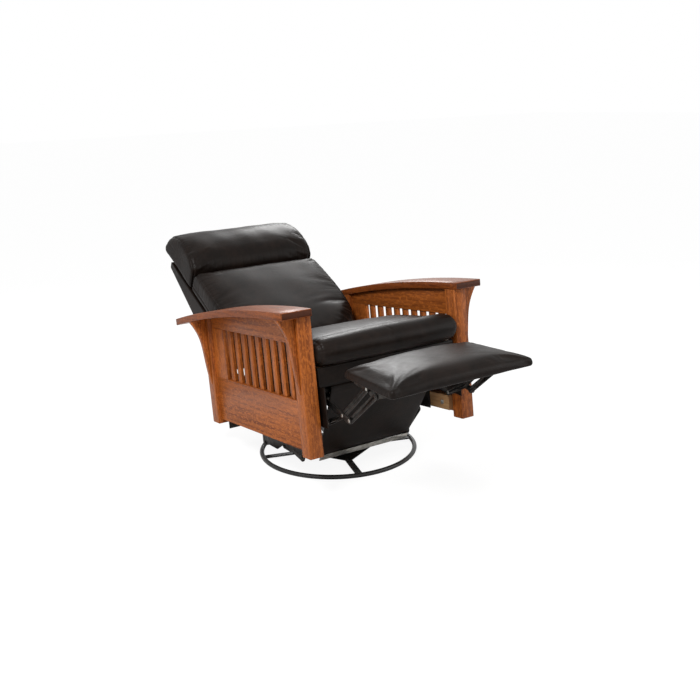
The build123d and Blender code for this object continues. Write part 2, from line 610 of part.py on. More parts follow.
def build_seat():
    """Seat box, webbing, cushion, front panel and the linkage's side plates."""
    low, high = SEAT_BOX_Z, SEAT_BOX_Z + SEAT_BOX_HEIGHT

    def board(inner, outer, front, back):
        face = outline(
            (front, low - seat_fall(front)), (back, low - seat_fall(back)),
            (back, high - seat_fall(back)), (front, high - seat_fall(front)))
        return plate(face, inner, outer)

    half, inner = SEAT_BOX_HALF, SEAT_BOX_HALF - SEAT_BOARD
    front_rail = board(-half, half, SEAT_BOX_FRONT, SEAT_BOX_FRONT + SEAT_BOARD)
    side = board(inner, half, SEAT_BOX_FRONT + SEAT_BOARD, SEAT_BOX_BACK)
    rear_rail = board(-inner, inner, SEAT_BOX_BACK - SEAT_BOARD, SEAT_BOX_BACK)
    web_front, web_back = SEAT_BOX_FRONT + SEAT_BOARD, SEAT_BOX_BACK - SEAT_BOARD
    front_z = high - seat_fall(web_front) - WEB_DROP
    back_z = high - seat_fall(web_back) - WEB_DROP
    web_face = outline(
        (web_front, front_z), (web_back, back_z),
        (web_back, back_z - WEB_THICK), (web_front, front_z - WEB_THICK))
    step = 2 * inner / WEB_COUNT
    webs = []
    for number in range(WEB_COUNT):
        middle = -inner + step * number + step / 2
        webs.append(plate(web_face, middle - WEB_WIDTH / 2, middle + WEB_WIDTH / 2).solid())
    lean = tan(radians(KICK_SLOPE))

    def kick_y(z):
        return SEAT_BOX_FRONT + (low - z) * lean

    head = low - seat_fall(SEAT_BOX_FRONT + SEAT_BOARD)

    def sloping(high_end, low_end, thick):
        start, end = kick_y(high_end), kick_y(low_end)
        return outline((start, high_end), (end, low_end), (end + thick, low_end), (start + thick, high_end))

    kick = plate(sloping(head, KICK_FOOT_Z, KICK_THICK), -KICK_HALF_TOP, KICK_HALF_TOP)
    front_view = Plane.XZ * outline(
        (-KICK_HALF_TOP, low), (KICK_HALF_TOP, low),
        (KICK_HALF_FOOT, KICK_FOOT_Z), (-KICK_HALF_FOOT, KICK_FOOT_Z))
    kick &= extrude(front_view, amount=FRAME_DEPTH, both=True)
    bar_foot = KICK_FOOT_Z - KICK_BAR_WIDTH * cos(radians(KICK_SLOPE))
    kick_bar = plate(sloping(KICK_FOOT_Z, bar_foot, KICK_BAR_THICK), -KICK_HALF_FOOT, KICK_HALF_FOOT)
    boards = [front_rail, rear_rail, side, mirror(side, about=Plane.YZ)]
    nodes = {
        "seat_box": Compound([board.solid() for board in boards]),
        "seat_webbing": Compound(webs),
        "seat_cushion": cushion(seat_section, SEAT_CUSHION_HALF, SEAT_DRAW),
        "kick_panel": kick,
        "kick_panel_bar": kick_bar,
        **sides("side_plate", side_plate()),
    }
    return {name: CHAIR * shape for name, shape in nodes.items()}


def side_plate():
    """The plate under the seat that carries the footrest's pivots and the back's hinge."""
    def top(y):
        return SEAT_BOX_Z - seat_fall(y)

    front = REAR_PIVOT[0] - SIDE_PLATE_EDGE
    strip = 2 * SIDE_PLATE_EDGE
    hinge_end = HINGE_Y + SIDE_PLATE_EDGE
    lug_start = SEAT_BOX_BACK + SIDE_PLATE_EDGE
    control_y, control_z = CONTROL_PIVOT
    face = outline(
        (front, top(front)), (SEAT_BOX_BACK, top(SEAT_BOX_BACK)), (lug_start, top(SEAT_BOX_BACK)),
        (HINGE_Y - SIDE_PLATE_EDGE, HINGE_Z), (hinge_end, HINGE_Z),
        (hinge_end - strip / 2, top(hinge_end) - strip),
        (control_y + strip, top(control_y + strip) - strip), (control_y + SIDE_PLATE_EDGE, control_z),
        (control_y, control_z - SIDE_PLATE_EDGE), (front, REAR_PIVOT[1] - SIDE_PLATE_EDGE))
    face += Pos(HINGE_Y, HINGE_Z) * Circle(SIDE_PLATE_EDGE)
    face += Pos(*CONTROL_PIVOT) * Circle(SIDE_PLATE_EDGE)
    shape = plate(face, SIDE_PLATE_INNER, SIDE_PLATE_INNER + SIDE_PLATE_GAUGE)
    flange_end = SEAT_BOX_BACK
    flange_face = outline(
        (front, top(front)), (flange_end, top(flange_end)),
        (flange_end, top(flange_end) - SIDE_PLATE_GAUGE), (front, top(front) - SIDE_PLATE_GAUGE))
    shape += plate(flange_face, SIDE_PLATE_INNER, POST_INNER)
    outer = SIDE_PLATE_INNER + SIDE_PLATE_GAUGE
    strap_outer = outer + BAR_GAP + STRAP_GAUGE
    hinge = across((HINGE_Y, HINGE_Z), PIN_D / 2, outer, strap_outer)
    hinge += across((HINGE_Y, HINGE_Z), PIN_HEAD_D / 2, strap_outer, strap_outer + PIN_HEAD)
    for place in (REAR_PIVOT, CONTROL_PIVOT):
        reach = SIDE_PLATE_INNER
        shape += across(place, RIVET_D / 2, REAR_BAR_INNER, reach)
        shape += across(place, RIVET_HEAD_D / 2, REAR_BAR_INNER - RIVET_HEAD / 2, REAR_BAR_INNER)
    return shape + hinge


def back_section(x, inset):
    """Side profile of the back cushion at x: a roll about the hinge, a long face, the seam."""
    arc_x = abs(x) - (BACK_HALF - BACK_CORNER)
    drop = sqrt(BACK_CORNER**2 - arc_x**2) if arc_x > 0 else BACK_CORNER
    foot = BACK_CORNER - BACK_FACE - drop
    face = BACK_FACE - inset
    reach = face
    diagonal = reach * (1 - sqrt(0.5))
    low_face = (foot + reach, face)
    bed_foot = (foot + reach / 8, BACK_BED)
    top = BACK_SEAM - inset / 2
    shoulder = (top - reach / 3, face + BACK_CROWN / 4)
    seam = (top, face * 2 / 3)
    edges = Line((foot, 0), bed_foot) + Line(bed_foot, (top, BACK_BED)) + Line((top, BACK_BED), seam)
    edges += ThreePointArc(seam, (top - reach / 10, face * 7 / 8), shoulder)
    middle = (shoulder[0] + low_face[0]) / 2
    edges += ThreePointArc(shoulder, (middle, face + BACK_CROWN), low_face)
    edges += ThreePointArc(low_face, (foot + diagonal, face - diagonal), (foot, 0))
    return Plane.YZ.offset(x) * make_face(edges)


HEAD_HEEL_SHARE = 0.95     # where the roll's bed starts, of its length
HEAD_REAR_SHARE = 0.6      # depth of the roll's rear bulge, of its bed's
HEAD_ROLL_SHARES = (
    (0.0, 0.56), (0.12, 0.86), (0.31, 0.97), (0.54, 1.0), (0.76, 0.83), (0.93, 0.52), (1.0, 0.12))


def head_section(x, inset):
    """Side profile of the headrest roll at x."""
    length, bulge = HEAD_TOP - BACK_SEAM - SOFT_GAP - inset, HEAD_BULGE - inset
    start = BACK_SEAM + SOFT_GAP
    points = [(start + length * along, bulge * out) for along, out in HEAD_ROLL_SHARES]
    heel = (start + length * HEAD_HEEL_SHARE, BACK_BED)
    edges = ThreePointArc(*points[0:3]) + ThreePointArc(*points[2:5]) + ThreePointArc(*points[4:7])
    edges += ThreePointArc(points[6], (start + length, BACK_BED * HEAD_REAR_SHARE), heel)
    edges += Line(heel, (start, BACK_BED)) + Line((start, BACK_BED), points[0])
    return Plane.YZ.offset(x) * make_face(edges)


SHELL_STATION_SHARES = ((-1.0, 1.0), (-0.985, 0.3), (-0.95, 0.0), (0.95, 0.0), (0.985, 0.3), (1.0, 1.0))


def shell_section(x, inset):
    """Side profile of the leather shell behind the back cushions, a wedge deepest at its waist."""
    front = BACK_BED - SOFT_GAP
    top = (SHELL_TOP, front - SHELL_TOP_DEPTH + inset)
    waist = (SHELL_WAIST, front - SHELL_WAIST_DEPTH + inset)
    foot = (SHELL_FOOT, front - SHELL_FOOT_DEPTH + inset)
    belly = ((waist[0] + foot[0]) / 2, (waist[1] * 3 + foot[1]) / 4)
    edges = [
        Line(foot, (SHELL_FOOT, front)),
        Line((SHELL_FOOT, front), (SHELL_TOP, front)),
        Line((SHELL_TOP, front), top),
        Line(top, waist),
        ThreePointArc(waist, belly, foot),
    ]
    return Plane.YZ.offset(x) * make_face(edges)


def build_back():
    """Back cushion, headrest roll, the shell behind them, its frame and hinge straps."""
    front = BACK_BED - SOFT_GAP
    shell = loft([
        shell_section(SHELL_HALF * place, SHELL_ROUND * share) for place, share in SHELL_STATION_SHARES
    ], ruled=True)
    pocket = outline(
        (SHELL_FOOT - OVERRUN, front + OVERRUN), (POCKET_TOP, front + OVERRUN),
        (POCKET_TOP, front - POCKET_DEPTH), (SHELL_FOOT - OVERRUN, front - POCKET_DEPTH))
    shell -= plate(pocket, -POCKET_HALF, POCKET_HALF)
    frame_top = front - SOFT_GAP
    stile_outer = SIDE_PLATE_INNER + SIDE_PLATE_GAUGE + BAR_GAP
    stile_inner = stile_outer - BACK_STILE
    frame_low = frame_top - BACK_BOARD
    stile_face = outline(
        (SHELL_FOOT, frame_top), (POCKET_TOP, frame_top), (POCKET_TOP, frame_low), (SHELL_FOOT, frame_low))
    stile = plate(stile_face, stile_inner, stile_outer)
    rails = []
    for place in BACK_RAIL_PLACES:
        end = place + BACK_RAIL_HEIGHT
        face = outline((place, frame_top), (end, frame_top), (end, frame_low), (place, frame_low))
        rails.append(plate(face, -stile_inner, stile_inner).solid())
    strap_points = [(0, 0), (0, -STRAP_DROP), (STRAP_LENGTH, -STRAP_DROP)]
    strap_face = bar_face(strap_points, STRAP_WIDTH, [((0, 0), PIN_D / 2 + PIN_PLAY)])
    strap = plate(strap_face, stile_outer, stile_outer + STRAP_GAUGE)
    nodes = {
        "back_cushion": cushion(back_section, BACK_HALF, BACK_DRAW),
        "head_cushion": cushion(head_section, BACK_HALF, BACK_DRAW),
        "back_shell": shell,
        "back_frame": Compound([stile.solid(), mirror(stile, about=Plane.YZ).solid(), *rails]),
        "back_hinge_straps": pair(strap),
    }
    return {name: BACK * shape for name, shape in nodes.items()}


def build_footrest_bars():
    """The folding bars of the footrest, each with the rivets that it carries."""
    wide = BAR_WIDTH
    shank, hole, room = RIVET_D / 2, RIVET_D / 2 + PIN_PLAY, RIVET_D / 2 + OPEN_RIVET_PLAY
    rear_face = bar_face([REAR_PIVOT, CROSS_PIVOT, KNEE_PIVOT], wide, [(REAR_PIVOT, hole)])
    rear = plate(rear_face, REAR_BAR_INNER, REAR_BAR_INNER + BAR_GAUGE)
    rear += across(CROSS_PIVOT, shank, FRONT_BAR_INNER, REAR_BAR_INNER)
    rear += across(CROSS_PIVOT, RIVET_HEAD_D / 2, FRONT_BAR_INNER - RIVET_HEAD / 2, FRONT_BAR_INNER)
    rear += across(KNEE_PIVOT, shank, LOWER_BAR_INNER, REAR_BAR_INNER)
    rear += across(KNEE_PIVOT, RIVET_HEAD_D / 2, LOWER_BAR_INNER - RIVET_HEAD / 2, LOWER_BAR_INNER)
    front_face = bar_face(
        [TAIL_PIVOT, CROSS_PIVOT, UPPER_PIVOT], wide,
        [(CROSS_PIVOT, hole), (UPPER_PIVOT, room), (TAIL_PIVOT, room)])
    front = plate(front_face, FRONT_BAR_INNER, FRONT_BAR_INNER + BAR_GAUGE)
    lower_face = bar_face([KNEE_PIVOT, LOWER_PIVOT], wide, [(KNEE_PIVOT, hole), (LOWER_PIVOT, hole)])
    lower = plate(lower_face, LOWER_BAR_INNER, LOWER_BAR_INNER + BAR_GAUGE)
    control_face = bar_face([CONTROL_PIVOT, TAIL_PIVOT], wide, [(CONTROL_PIVOT, hole)])
    control = plate(control_face, REAR_BAR_INNER, REAR_BAR_INNER + BAR_GAUGE)
    control += across(TAIL_PIVOT, shank, FRONT_BAR_INNER, REAR_BAR_INNER)
    tube = across(REAR_PIVOT, TORQUE_TUBE_D / 2, -REAR_BAR_INNER, REAR_BAR_INNER)
    tube -= across(REAR_PIVOT, TORQUE_TUBE_D / 2 - TORQUE_TUBE_WALL, -SIDE_PLATE_INNER, SIDE_PLATE_INNER)
    nodes = {
        **sides("rear_bar", rear),
        **sides("front_bar", front),
        **sides("lower_bar", lower),
        "control_bars": pair(control),
        "footrest_torque_tube": tube,
    }
    return {name: CHAIR * shape for name, shape in nodes.items()}


def foot_local(place):
    """A pivot of the chair's frame as (along, up) from the footrest's rear lower edge."""
    slope = radians(FOOT_SLOPE)
    y, z = place[0] - FOOT_REAR[0], place[1] - FOOT_REAR[1]
    return y * cos(slope) + z * sin(slope), z * cos(slope) - y * sin(slope)


FOOT_SIDE_SHARE = 0.72     # height of the pad's side below its rounding
FOOT_BROW_SHARE = 0.97     # of the half width, where the crown begins


def foot_section(along, grow):
    """Front view of the pad at a distance along it, with its height grown by grow."""
    share = -along / FOOT_LENGTH
    half = FOOT_HALF_REAR + (FOOT_HALF_FRONT - FOOT_HALF_REAR) * share - FOOT_EDGE * (1 - grow)
    low = FOOT_EDGE * (1 - grow) / 2
    side = low + (FOOT_THICK - low) * FOOT_SIDE_SHARE * grow
    top = low + (FOOT_THICK - low) * grow
    crown = top + FOOT_CROWN * grow
    brow = half * FOOT_BROW_SHARE
    bulge = ((half + brow) / 2 - FOOT_EDGE / 12, (side + top) / 2 + FOOT_EDGE / 9)
    edges = Polyline((-half, side), (-half + FOOT_EDGE / 4, low), (half - FOOT_EDGE / 4, low), (half, side))
    edges += ThreePointArc((half, side), bulge, (brow, top))
    edges += ThreePointArc((brow, top), (0, crown), (-brow, top))
    edges += ThreePointArc((-brow, top), (-bulge[0], bulge[1]), (-half, side))
    return Plane.XZ.offset(-along) * make_face(edges)


FOOT_STATION_SHARES = (
    (0.0, 0.55), (0.04, 0.88), (0.2, 1.0), (0.5, 1.04), (0.8, 1.0), (0.96, 0.88), (1.0, 0.55))


def build_footrest():
    """The padded footrest, its board and the two brackets under it."""
    pad = loft([foot_section(-FOOT_LENGTH * place, grow) for place, grow in FOOT_STATION_SHARES])
    inset = FOOT_BOARD_INSET
    board_plan = outline(
        (-FOOT_HALF_REAR + inset, -inset), (FOOT_HALF_REAR - inset, -inset),
        (FOOT_HALF_FRONT - inset, -FOOT_LENGTH + inset), (-FOOT_HALF_FRONT + inset, -FOOT_LENGTH + inset))
    board = extrude(board_plan, amount=FOOT_BOARD)
    pad -= extrude(Pos(0, 0, -OVERRUN) * board_plan, amount=FOOT_BOARD + OVERRUN)
    upper, lower = foot_local(UPPER_PIVOT), foot_local(LOWER_PIVOT)
    web_face = outline(
        (-BRACKET_REAR, 0), (-BRACKET_FRONT, 0), (-BRACKET_FRONT, -BRACKET_LIP),
        (lower[0] - BRACKET_ROUND, lower[1] - BRACKET_ROUND / 2),
        (lower[0] + BRACKET_ROUND, lower[1] - BRACKET_ROUND),
        (upper[0] + BRACKET_ROUND, upper[1] - BRACKET_ROUND), (-BRACKET_REAR, -BRACKET_LIP))
    web_face += Pos(*lower) * Circle(BRACKET_ROUND)
    web = plate(web_face, BRACKET_INNER, BRACKET_INNER + BAR_GAUGE)
    flange_face = outline(
        (-BRACKET_REAR, 0), (-BRACKET_FRONT, 0), (-BRACKET_FRONT, -BAR_GAUGE), (-BRACKET_REAR, -BAR_GAUGE))
    web += plate(flange_face, BRACKET_INNER - BRACKET_FOOT, BRACKET_INNER)
    bar_outer = LOWER_BAR_INNER + BAR_GAUGE
    web += across(lower, RIVET_D / 2, BRACKET_INNER + BAR_GAUGE, bar_outer)
    web += across(lower, RIVET_HEAD_D / 2, bar_outer, bar_outer + RIVET_HEAD / 2)
    web += across(upper, RIVET_D / 2, BRACKET_INNER + BAR_GAUGE, FRONT_BAR_INNER + BAR_GAUGE)
    nodes = {"footrest_pad": pad, "footrest_board": board, "footrest_brackets": pair(web)}
    return {name: FOOT * shape for name, shape in nodes.items()}


def build_bolts():
    """The bolts through the cleats, the first with its head on the cleat, the rest on the side rail."""
    step = (CLEAT_LENGTH - 2 * BOLT_END) / (BOLT_COUNT - 1)
    bolts = []
    for number in range(BOLT_COUNT):
        place = (CLEAT_Y + BOLT_END + step * number, CLEAT_Z + CLEAT_HEIGHT / 2)
        seat = SIDE_RAIL_INNER if place[0] > SIDE_RAIL_FRONT else CLEAT_INNER
        shank = across(place, BOLT_D / 2, seat, PANEL_INNER)
        bolts.append(shank + across(place, BOLT_HEAD_D / 2, seat - BOLT_HEAD, seat))
    return CHAIR * pair(*bolts)


def build_chair():
    """Every node of the chair by name, with the bolts' holes cut."""
    nodes = {
        **build_base(),
        **build_turntable(),
        **build_glide_links(),
        **build_carriage(),
        **build_oak_sides(),
        "cleat_bolts": build_bolts(),
        **build_seat(),
        **build_back(),
        **build_footrest_bars(),
        **build_footrest(),
    }
    for name in ("left_side_rail", "right_side_rail", "left_cleat", "right_cleat"):
        nodes[name] -= nodes["cleat_bolts"]
    return nodes


def main():
    """Write one STEP file for each node."""
    os.makedirs("parts", exist_ok=True)
    nodes = build_chair()
    for name, shape in nodes.items():
        export_step(Compound(shape.solids()), f"parts/{name}.step")
    print(len(nodes), "nodes")


main()
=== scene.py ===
"""Looks of a swivel glider recliner: oak slatted sides, dark leather upholstery and a
steel glider on a round base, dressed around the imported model's frame.

Metres, +Z up, -Y to the front of the chair, +X to the sitter's left. A station is a place
along a piece where one of its profiles stands.
"""
import json
import logging
from dataclasses import dataclass
from enum import Enum
from math import radians, tan
from typing import Any, Callable

import bmesh
import bpy
import numpy as np
from mathutils import Matrix, Vector


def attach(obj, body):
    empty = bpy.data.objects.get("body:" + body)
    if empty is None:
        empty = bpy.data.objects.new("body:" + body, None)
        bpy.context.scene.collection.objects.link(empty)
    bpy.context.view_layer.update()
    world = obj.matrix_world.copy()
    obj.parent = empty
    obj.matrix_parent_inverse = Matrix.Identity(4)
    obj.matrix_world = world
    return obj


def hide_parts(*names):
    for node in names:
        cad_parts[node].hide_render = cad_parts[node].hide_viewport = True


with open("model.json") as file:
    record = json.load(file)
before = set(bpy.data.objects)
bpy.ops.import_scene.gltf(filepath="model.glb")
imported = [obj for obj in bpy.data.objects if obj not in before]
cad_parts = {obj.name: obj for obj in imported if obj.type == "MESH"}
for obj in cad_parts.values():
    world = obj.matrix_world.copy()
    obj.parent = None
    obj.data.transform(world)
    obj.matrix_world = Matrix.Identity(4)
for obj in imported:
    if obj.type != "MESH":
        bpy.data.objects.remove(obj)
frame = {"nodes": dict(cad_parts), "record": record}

LOG = logging.getLogger("recliner")
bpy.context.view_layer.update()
FULL_TURN = 2 * np.pi
TINY = 1e-9          # keeps a length from dividing by zero
WELD_WITHIN = 0.00002
EDGE_ANGLE = 35      # degrees, past which an edge is rounded

Array = np.ndarray
Colour = tuple[float, float, float, float]
Point = tuple[float, float, float]
Surface = tuple[Array, Array]    # vertices and faces
Material = bpy.types.Material
Piece = bpy.types.Object
Socket = bpy.types.NodeSocket
Feed = Socket | float | Point | Colour


@dataclass(frozen=True)
class Places:
    """The frames that the chair's pieces are drawn in, as the model has them."""

    ring_z: float = 0.008
    chair_tilt: float = 5.9
    swivel_depth: float = 0.410
    leg_clearance: float = 0.117
    hinge: Point = (0.0, 0.600, 0.270)
    back_angle: float = 34.0
    foot_rear: Point = (0.0, -0.1126, 0.2802)
    foot_slope: float = 5.1

    def chair(self) -> Matrix:
        """The chair's frame: Y runs back from the front legs, Z up from the leg bottoms.

        Returns:
            The frame as a matrix from its own places to the shared ones.
        """
        lean = Matrix.Rotation(-radians(self.chair_tilt), 4, "X")
        lift = Matrix.Translation((0.0, -self.swivel_depth, self.leg_clearance))
        return Matrix.Translation((0.0, 0.0, self.ring_z)) @ lean @ lift

    def on_chair(self, origin: Point, slope: float) -> Matrix:
        """A frame at a place of the chair's frame, tipped up by a slope in degrees."""
        return self.chair() @ Matrix.Translation(origin) @ Matrix.Rotation(radians(slope), 4, "X")

    def back(self) -> Matrix:
        """The back's frame: Y runs up the back from the hinge, Z out of its face."""
        return self.on_chair(self.hinge, self.back_angle)

    def foot(self) -> Matrix:
        """The footrest's frame: -Y runs to its front edge, Z up from its board."""
        return self.on_chair(self.foot_rear, self.foot_slope)


PLACES = Places()


def tint(red: int, green: int, blue: int) -> Colour:
    """A colour given as it shows on a screen, turned into linear light with full alpha.

    A share up to 0.04045 is divided by 12.92, and any other share s becomes
    ((s + 0.055) / 1.055) ^ 2.4.

    Args:
        red: 0 to 255.
        green: 0 to 255.
        blue: 0 to 255.

    Returns:
        The four channels, 0 to 1.
    """
    shares = np.array((red, green, blue)) / 255
    linear = np.where(shares <= 0.04045, shares / 12.92, ((shares + 0.055) / 1.055) ** 2.4)
    return (float(linear[0]), float(linear[1]), float(linear[2]), 1.0)


def place(points: Array, where: Matrix) -> Array:
    """Points of a local frame carried into the shared frame.

    Args:
        points: Array whose last axis holds x, y and z.
        where: The local frame.

    Returns:
        An array of the same shape.
    """
    turn = np.array(where)
    return points @ turn[:3, :3].T + turn[:3, 3]


def line(start: Array, end: Array, count: int) -> Array:
    """Straight runs from start up to, but without, end.

    Args:
        start: (stations, 2) first points.
        end: (stations, 2) last points.
        count: Points on each run.

    Returns:
        (stations, count, 2) points.
    """
    share = np.linspace(0.0, 1.0, count, endpoint=False)[None, :, None]
    return start[:, None, :] * (1 - share) + end[:, None, :] * share


def arc(start: Array, through: Array, end: Array, count: int) -> Array:
    """Arcs of the circles through three points, from start up to, but without, end.

    The centre is where the perpendicular bisectors meet, and the angle runs evenly from
    the first point to the last on the side of the middle one.

    Args:
        start: (stations, 2) first points.
        through: (stations, 2) middle points.
        end: (stations, 2) last points.
        count: Points on each arc.

    Returns:
        (stations, count, 2) points.
    """
    (ax, ay), (bx, by), (cx, cy) = start.T, through.T, end.T
    twice = 2 * (ax * (by - cy) + bx * (cy - ay) + cx * (ay - by))
    a2, b2, c2 = ax**2 + ay**2, bx**2 + by**2, cx**2 + cy**2
    centre_x = (a2 * (by - cy) + b2 * (cy - ay) + c2 * (ay - by)) / twice
    centre_y = (a2 * (cx - bx) + b2 * (ax - cx) + c2 * (bx - ax)) / twice
    first = np.arctan2(ay - centre_y, ax - centre_x)
    last = np.arctan2(cy - centre_y, cx - centre_x)
    sweep = np.where(twice > 0, (last - first) % FULL_TURN, -((first - last) % FULL_TURN))
    share = np.linspace(0.0, 1.0, count, endpoint=False)
    angle = first[:, None] + sweep[:, None] * share[None, :]
    radius = np.hypot(ax - centre_x, ay - centre_y)[:, None]
    round_x = centre_x[:, None] + radius * np.cos(angle)
    round_y = centre_y[:, None] + radius * np.sin(angle)
    return np.stack((round_x, round_y), axis=-1)


def pairs(first: Array | float, second: Array | float, stations: Array) -> Array:
    """Two coordinates, each a number or one for each station, as (stations, 2) points."""
    zero = np.zeros_like(stations)
    return np.stack((zero + first, zero + second), axis=-1)


def squarer(wave: Array, power: float) -> Array:
    """A cosine or sine with its size raised to a power below 1 and its sign kept."""
    return np.sign(wave) * np.abs(wave) ** power


def end_rounding(stations: Array, half: float, radius: float) -> Array:
    """How far a profile has shrunk at each station, for edges rounded by a quarter circle.

    Inside half less radius it is zero, and outside that it is radius * (1 - cos a), where
    sin a is the share of the radius that the station has gone out.
    """
    share = np.clip((np.abs(stations) - (half - radius)) / radius, 0.0, 1.0)
    return radius * (1 - np.sqrt(1 - share**2))


def across_stations(half: float, radius: float, inner: int, outer: int) -> Array:
    """Places across a width, even over the middle and closer together on the rounded ends.

    Over an end they are at half - radius + radius * sin a, with a in even steps.

    Args:
        half: Half the width.
        radius: Of the rounding at each end.
        inner: Stations over the middle, with the first of each end.
        outer: Stations over each end.

    Returns:
        The places, from -half to half.
    """
    angle = np.linspace(0.0, np.pi / 2, outer)
    edge = half - radius + radius * np.sin(angle)
    middle = np.linspace(-(half - radius), half - radius, inner)
    return np.concatenate((-edge[::-1], middle[1:-1], edge))


def loops_across(x: Array, runs: list[Array]) -> Array:
    """Profiles in Y and Z, one at each place across a width, as loops in space.

    Args:
        x: The stations' places.
        runs: The lines and arcs of the profiles, in order, each (stations, points, 2).

    Returns:
        (stations, points, 3) loops.
    """
    profile = np.concatenate(runs, axis=1)
    wide = np.broadcast_to(x[:, None, None], (*profile.shape[:2], 1))
    return np.concatenate((wide, profile), axis=-1)


def skin(loops: Array, cap_rings: int = 5) -> Surface:
    """A closed surface over a row of closed loops, its ends filled by shrinking rings.

    Args:
        loops: (stations, points, 3) loops, each closed on itself.
        cap_rings: Rings between each end loop and the middle of its cap.

    Returns:
        Vertices (n, 3) and faces (m, 4), where a cap's triangles repeat a corner.
    """
    shares = np.linspace(1.0, 0.0, cap_rings + 2)[1:-1]
    first, last = loops[0], loops[-1]
    first_rings = [first.mean(0) + (first - first.mean(0)) * share for share in shares[::-1]]
    last_rings = [last.mean(0) + (last - last.mean(0)) * share for share in shares]
    rows = np.concatenate((np.array(first_rings), loops, np.array(last_rings)))
    count, points = rows.shape[:2]
    index = np.arange(count * points).reshape(count, points)
    around = np.roll(index, -1, axis=1)
    quads = np.stack((index[:-1], index[1:], around[1:], around[:-1]), axis=-1).reshape(-1, 4)
    tip = np.full(points, count * points)
    fan_first = np.stack((index[0], around[0], tip, tip), axis=-1)
    fan_last = np.stack((around[-1], index[-1], tip + 1, tip + 1), axis=-1)
    vertices = np.concatenate((rows.reshape(-1, 3), [first.mean(0)], [last.mean(0)]))
    return vertices, np.concatenate((quads, fan_first, fan_last))


def joined(parts: list[Surface]) -> Surface:
    """Several surfaces as one.

    Args:
        parts: The surfaces.

    Returns:
        All their vertices, and all their faces with their corners numbered on.
    """
    starts = np.cumsum([0] + [len(vertices) for vertices, _ in parts[:-1]])
    faces = [face + start for (_, face), start in zip(parts, starts)]
    return np.concatenate([vertices for vertices, _ in parts]), np.concatenate(faces)


def make_piece(name: str, vertices: Array, faces: Array, material: Material) -> Piece:
    """A smooth mesh object at the origin from vertices and faces, its normals facing out.

    Args:
        name: The piece's name.
        vertices: (n, 3) places in the shared frame.
        faces: (m, 4) corners, a triangle's last corner repeated.
        material: Its finish.

    Returns:
        The new object.
    """
    rows = [list(dict.fromkeys(row)) for row in faces.tolist()]
    mesh = bpy.data.meshes.new(name)
    mesh.from_pydata(vertices.tolist(), [], rows)
    solid = bmesh.new()
    solid.from_mesh(mesh)
    bmesh.ops.recalc_face_normals(solid, faces=solid.faces)
    solid.to_mesh(mesh)
    solid.free()
    mesh.polygons.foreach_set("use_smooth", np.ones(len(mesh.polygons), dtype=bool))
    mesh.materials.append(material)
    piece = bpy.data.objects.new(name, mesh)
    bpy.context.scene.collection.objects.link(piece)
    return piece


def read_rows(rows: bpy.types.bpy_prop_collection, key: str) -> Array:
    """A property of three numbers of every row of a mesh.

    Args:
        rows: The mesh's vertices or vertex normals.
        key: The property's name.

    Returns:
        (n, 3) numbers.
    """
    flat = np.empty(len(rows) * 3, dtype=np.float32)
    rows.foreach_get(key, flat)
    return flat.reshape(-1, 3).astype(np.float64)


def vertex_places(mesh: bpy.types.Mesh) -> Array:
    """The mesh's vertices as an (n, 3) array."""
    return read_rows(mesh.vertices, "co")


def vertex_normals(mesh: bpy.types.Mesh) -> Array:
    """The mesh's vertex normals as an (n, 3) array."""
    return read_rows(mesh.vertex_normals, "vector")


def move_vertices(mesh: bpy.types.Mesh, points: Array) -> None:
    """Puts an (n, 3) array back into the mesh's vertices."""
    mesh.vertices.foreach_set("co", points.astype(np.float32).ravel())
    mesh.update()


def apply_modifiers(piece: Piece) -> None:
    """Replaces the piece's mesh by what its modifiers make of it, and removes them.

    Args:
        piece: The piece.
    """
    graph = bpy.context.evaluated_depsgraph_get()
    finished = bpy.data.meshes.new_from_object(piece.evaluated_get(graph))
    piece.modifiers.clear()
    piece.data = finished
    finished.polygons.foreach_set("use_smooth", np.ones(len(finished.polygons), dtype=bool))


@dataclass(frozen=True)
class Layer:
    """One noise of a pattern: how often it varies in a metre, its detail and what shows.

    scales are for the grain's own direction and the two across it. Of the noise, the span
    from low to high is stretched to 0 to 1, and strength is its part in the colour.
    """

    scales: Point
    detail: float
    rough: float = 0.5
    low: float = 0.0
    high: float = 1.0
    strength: float = 1.0


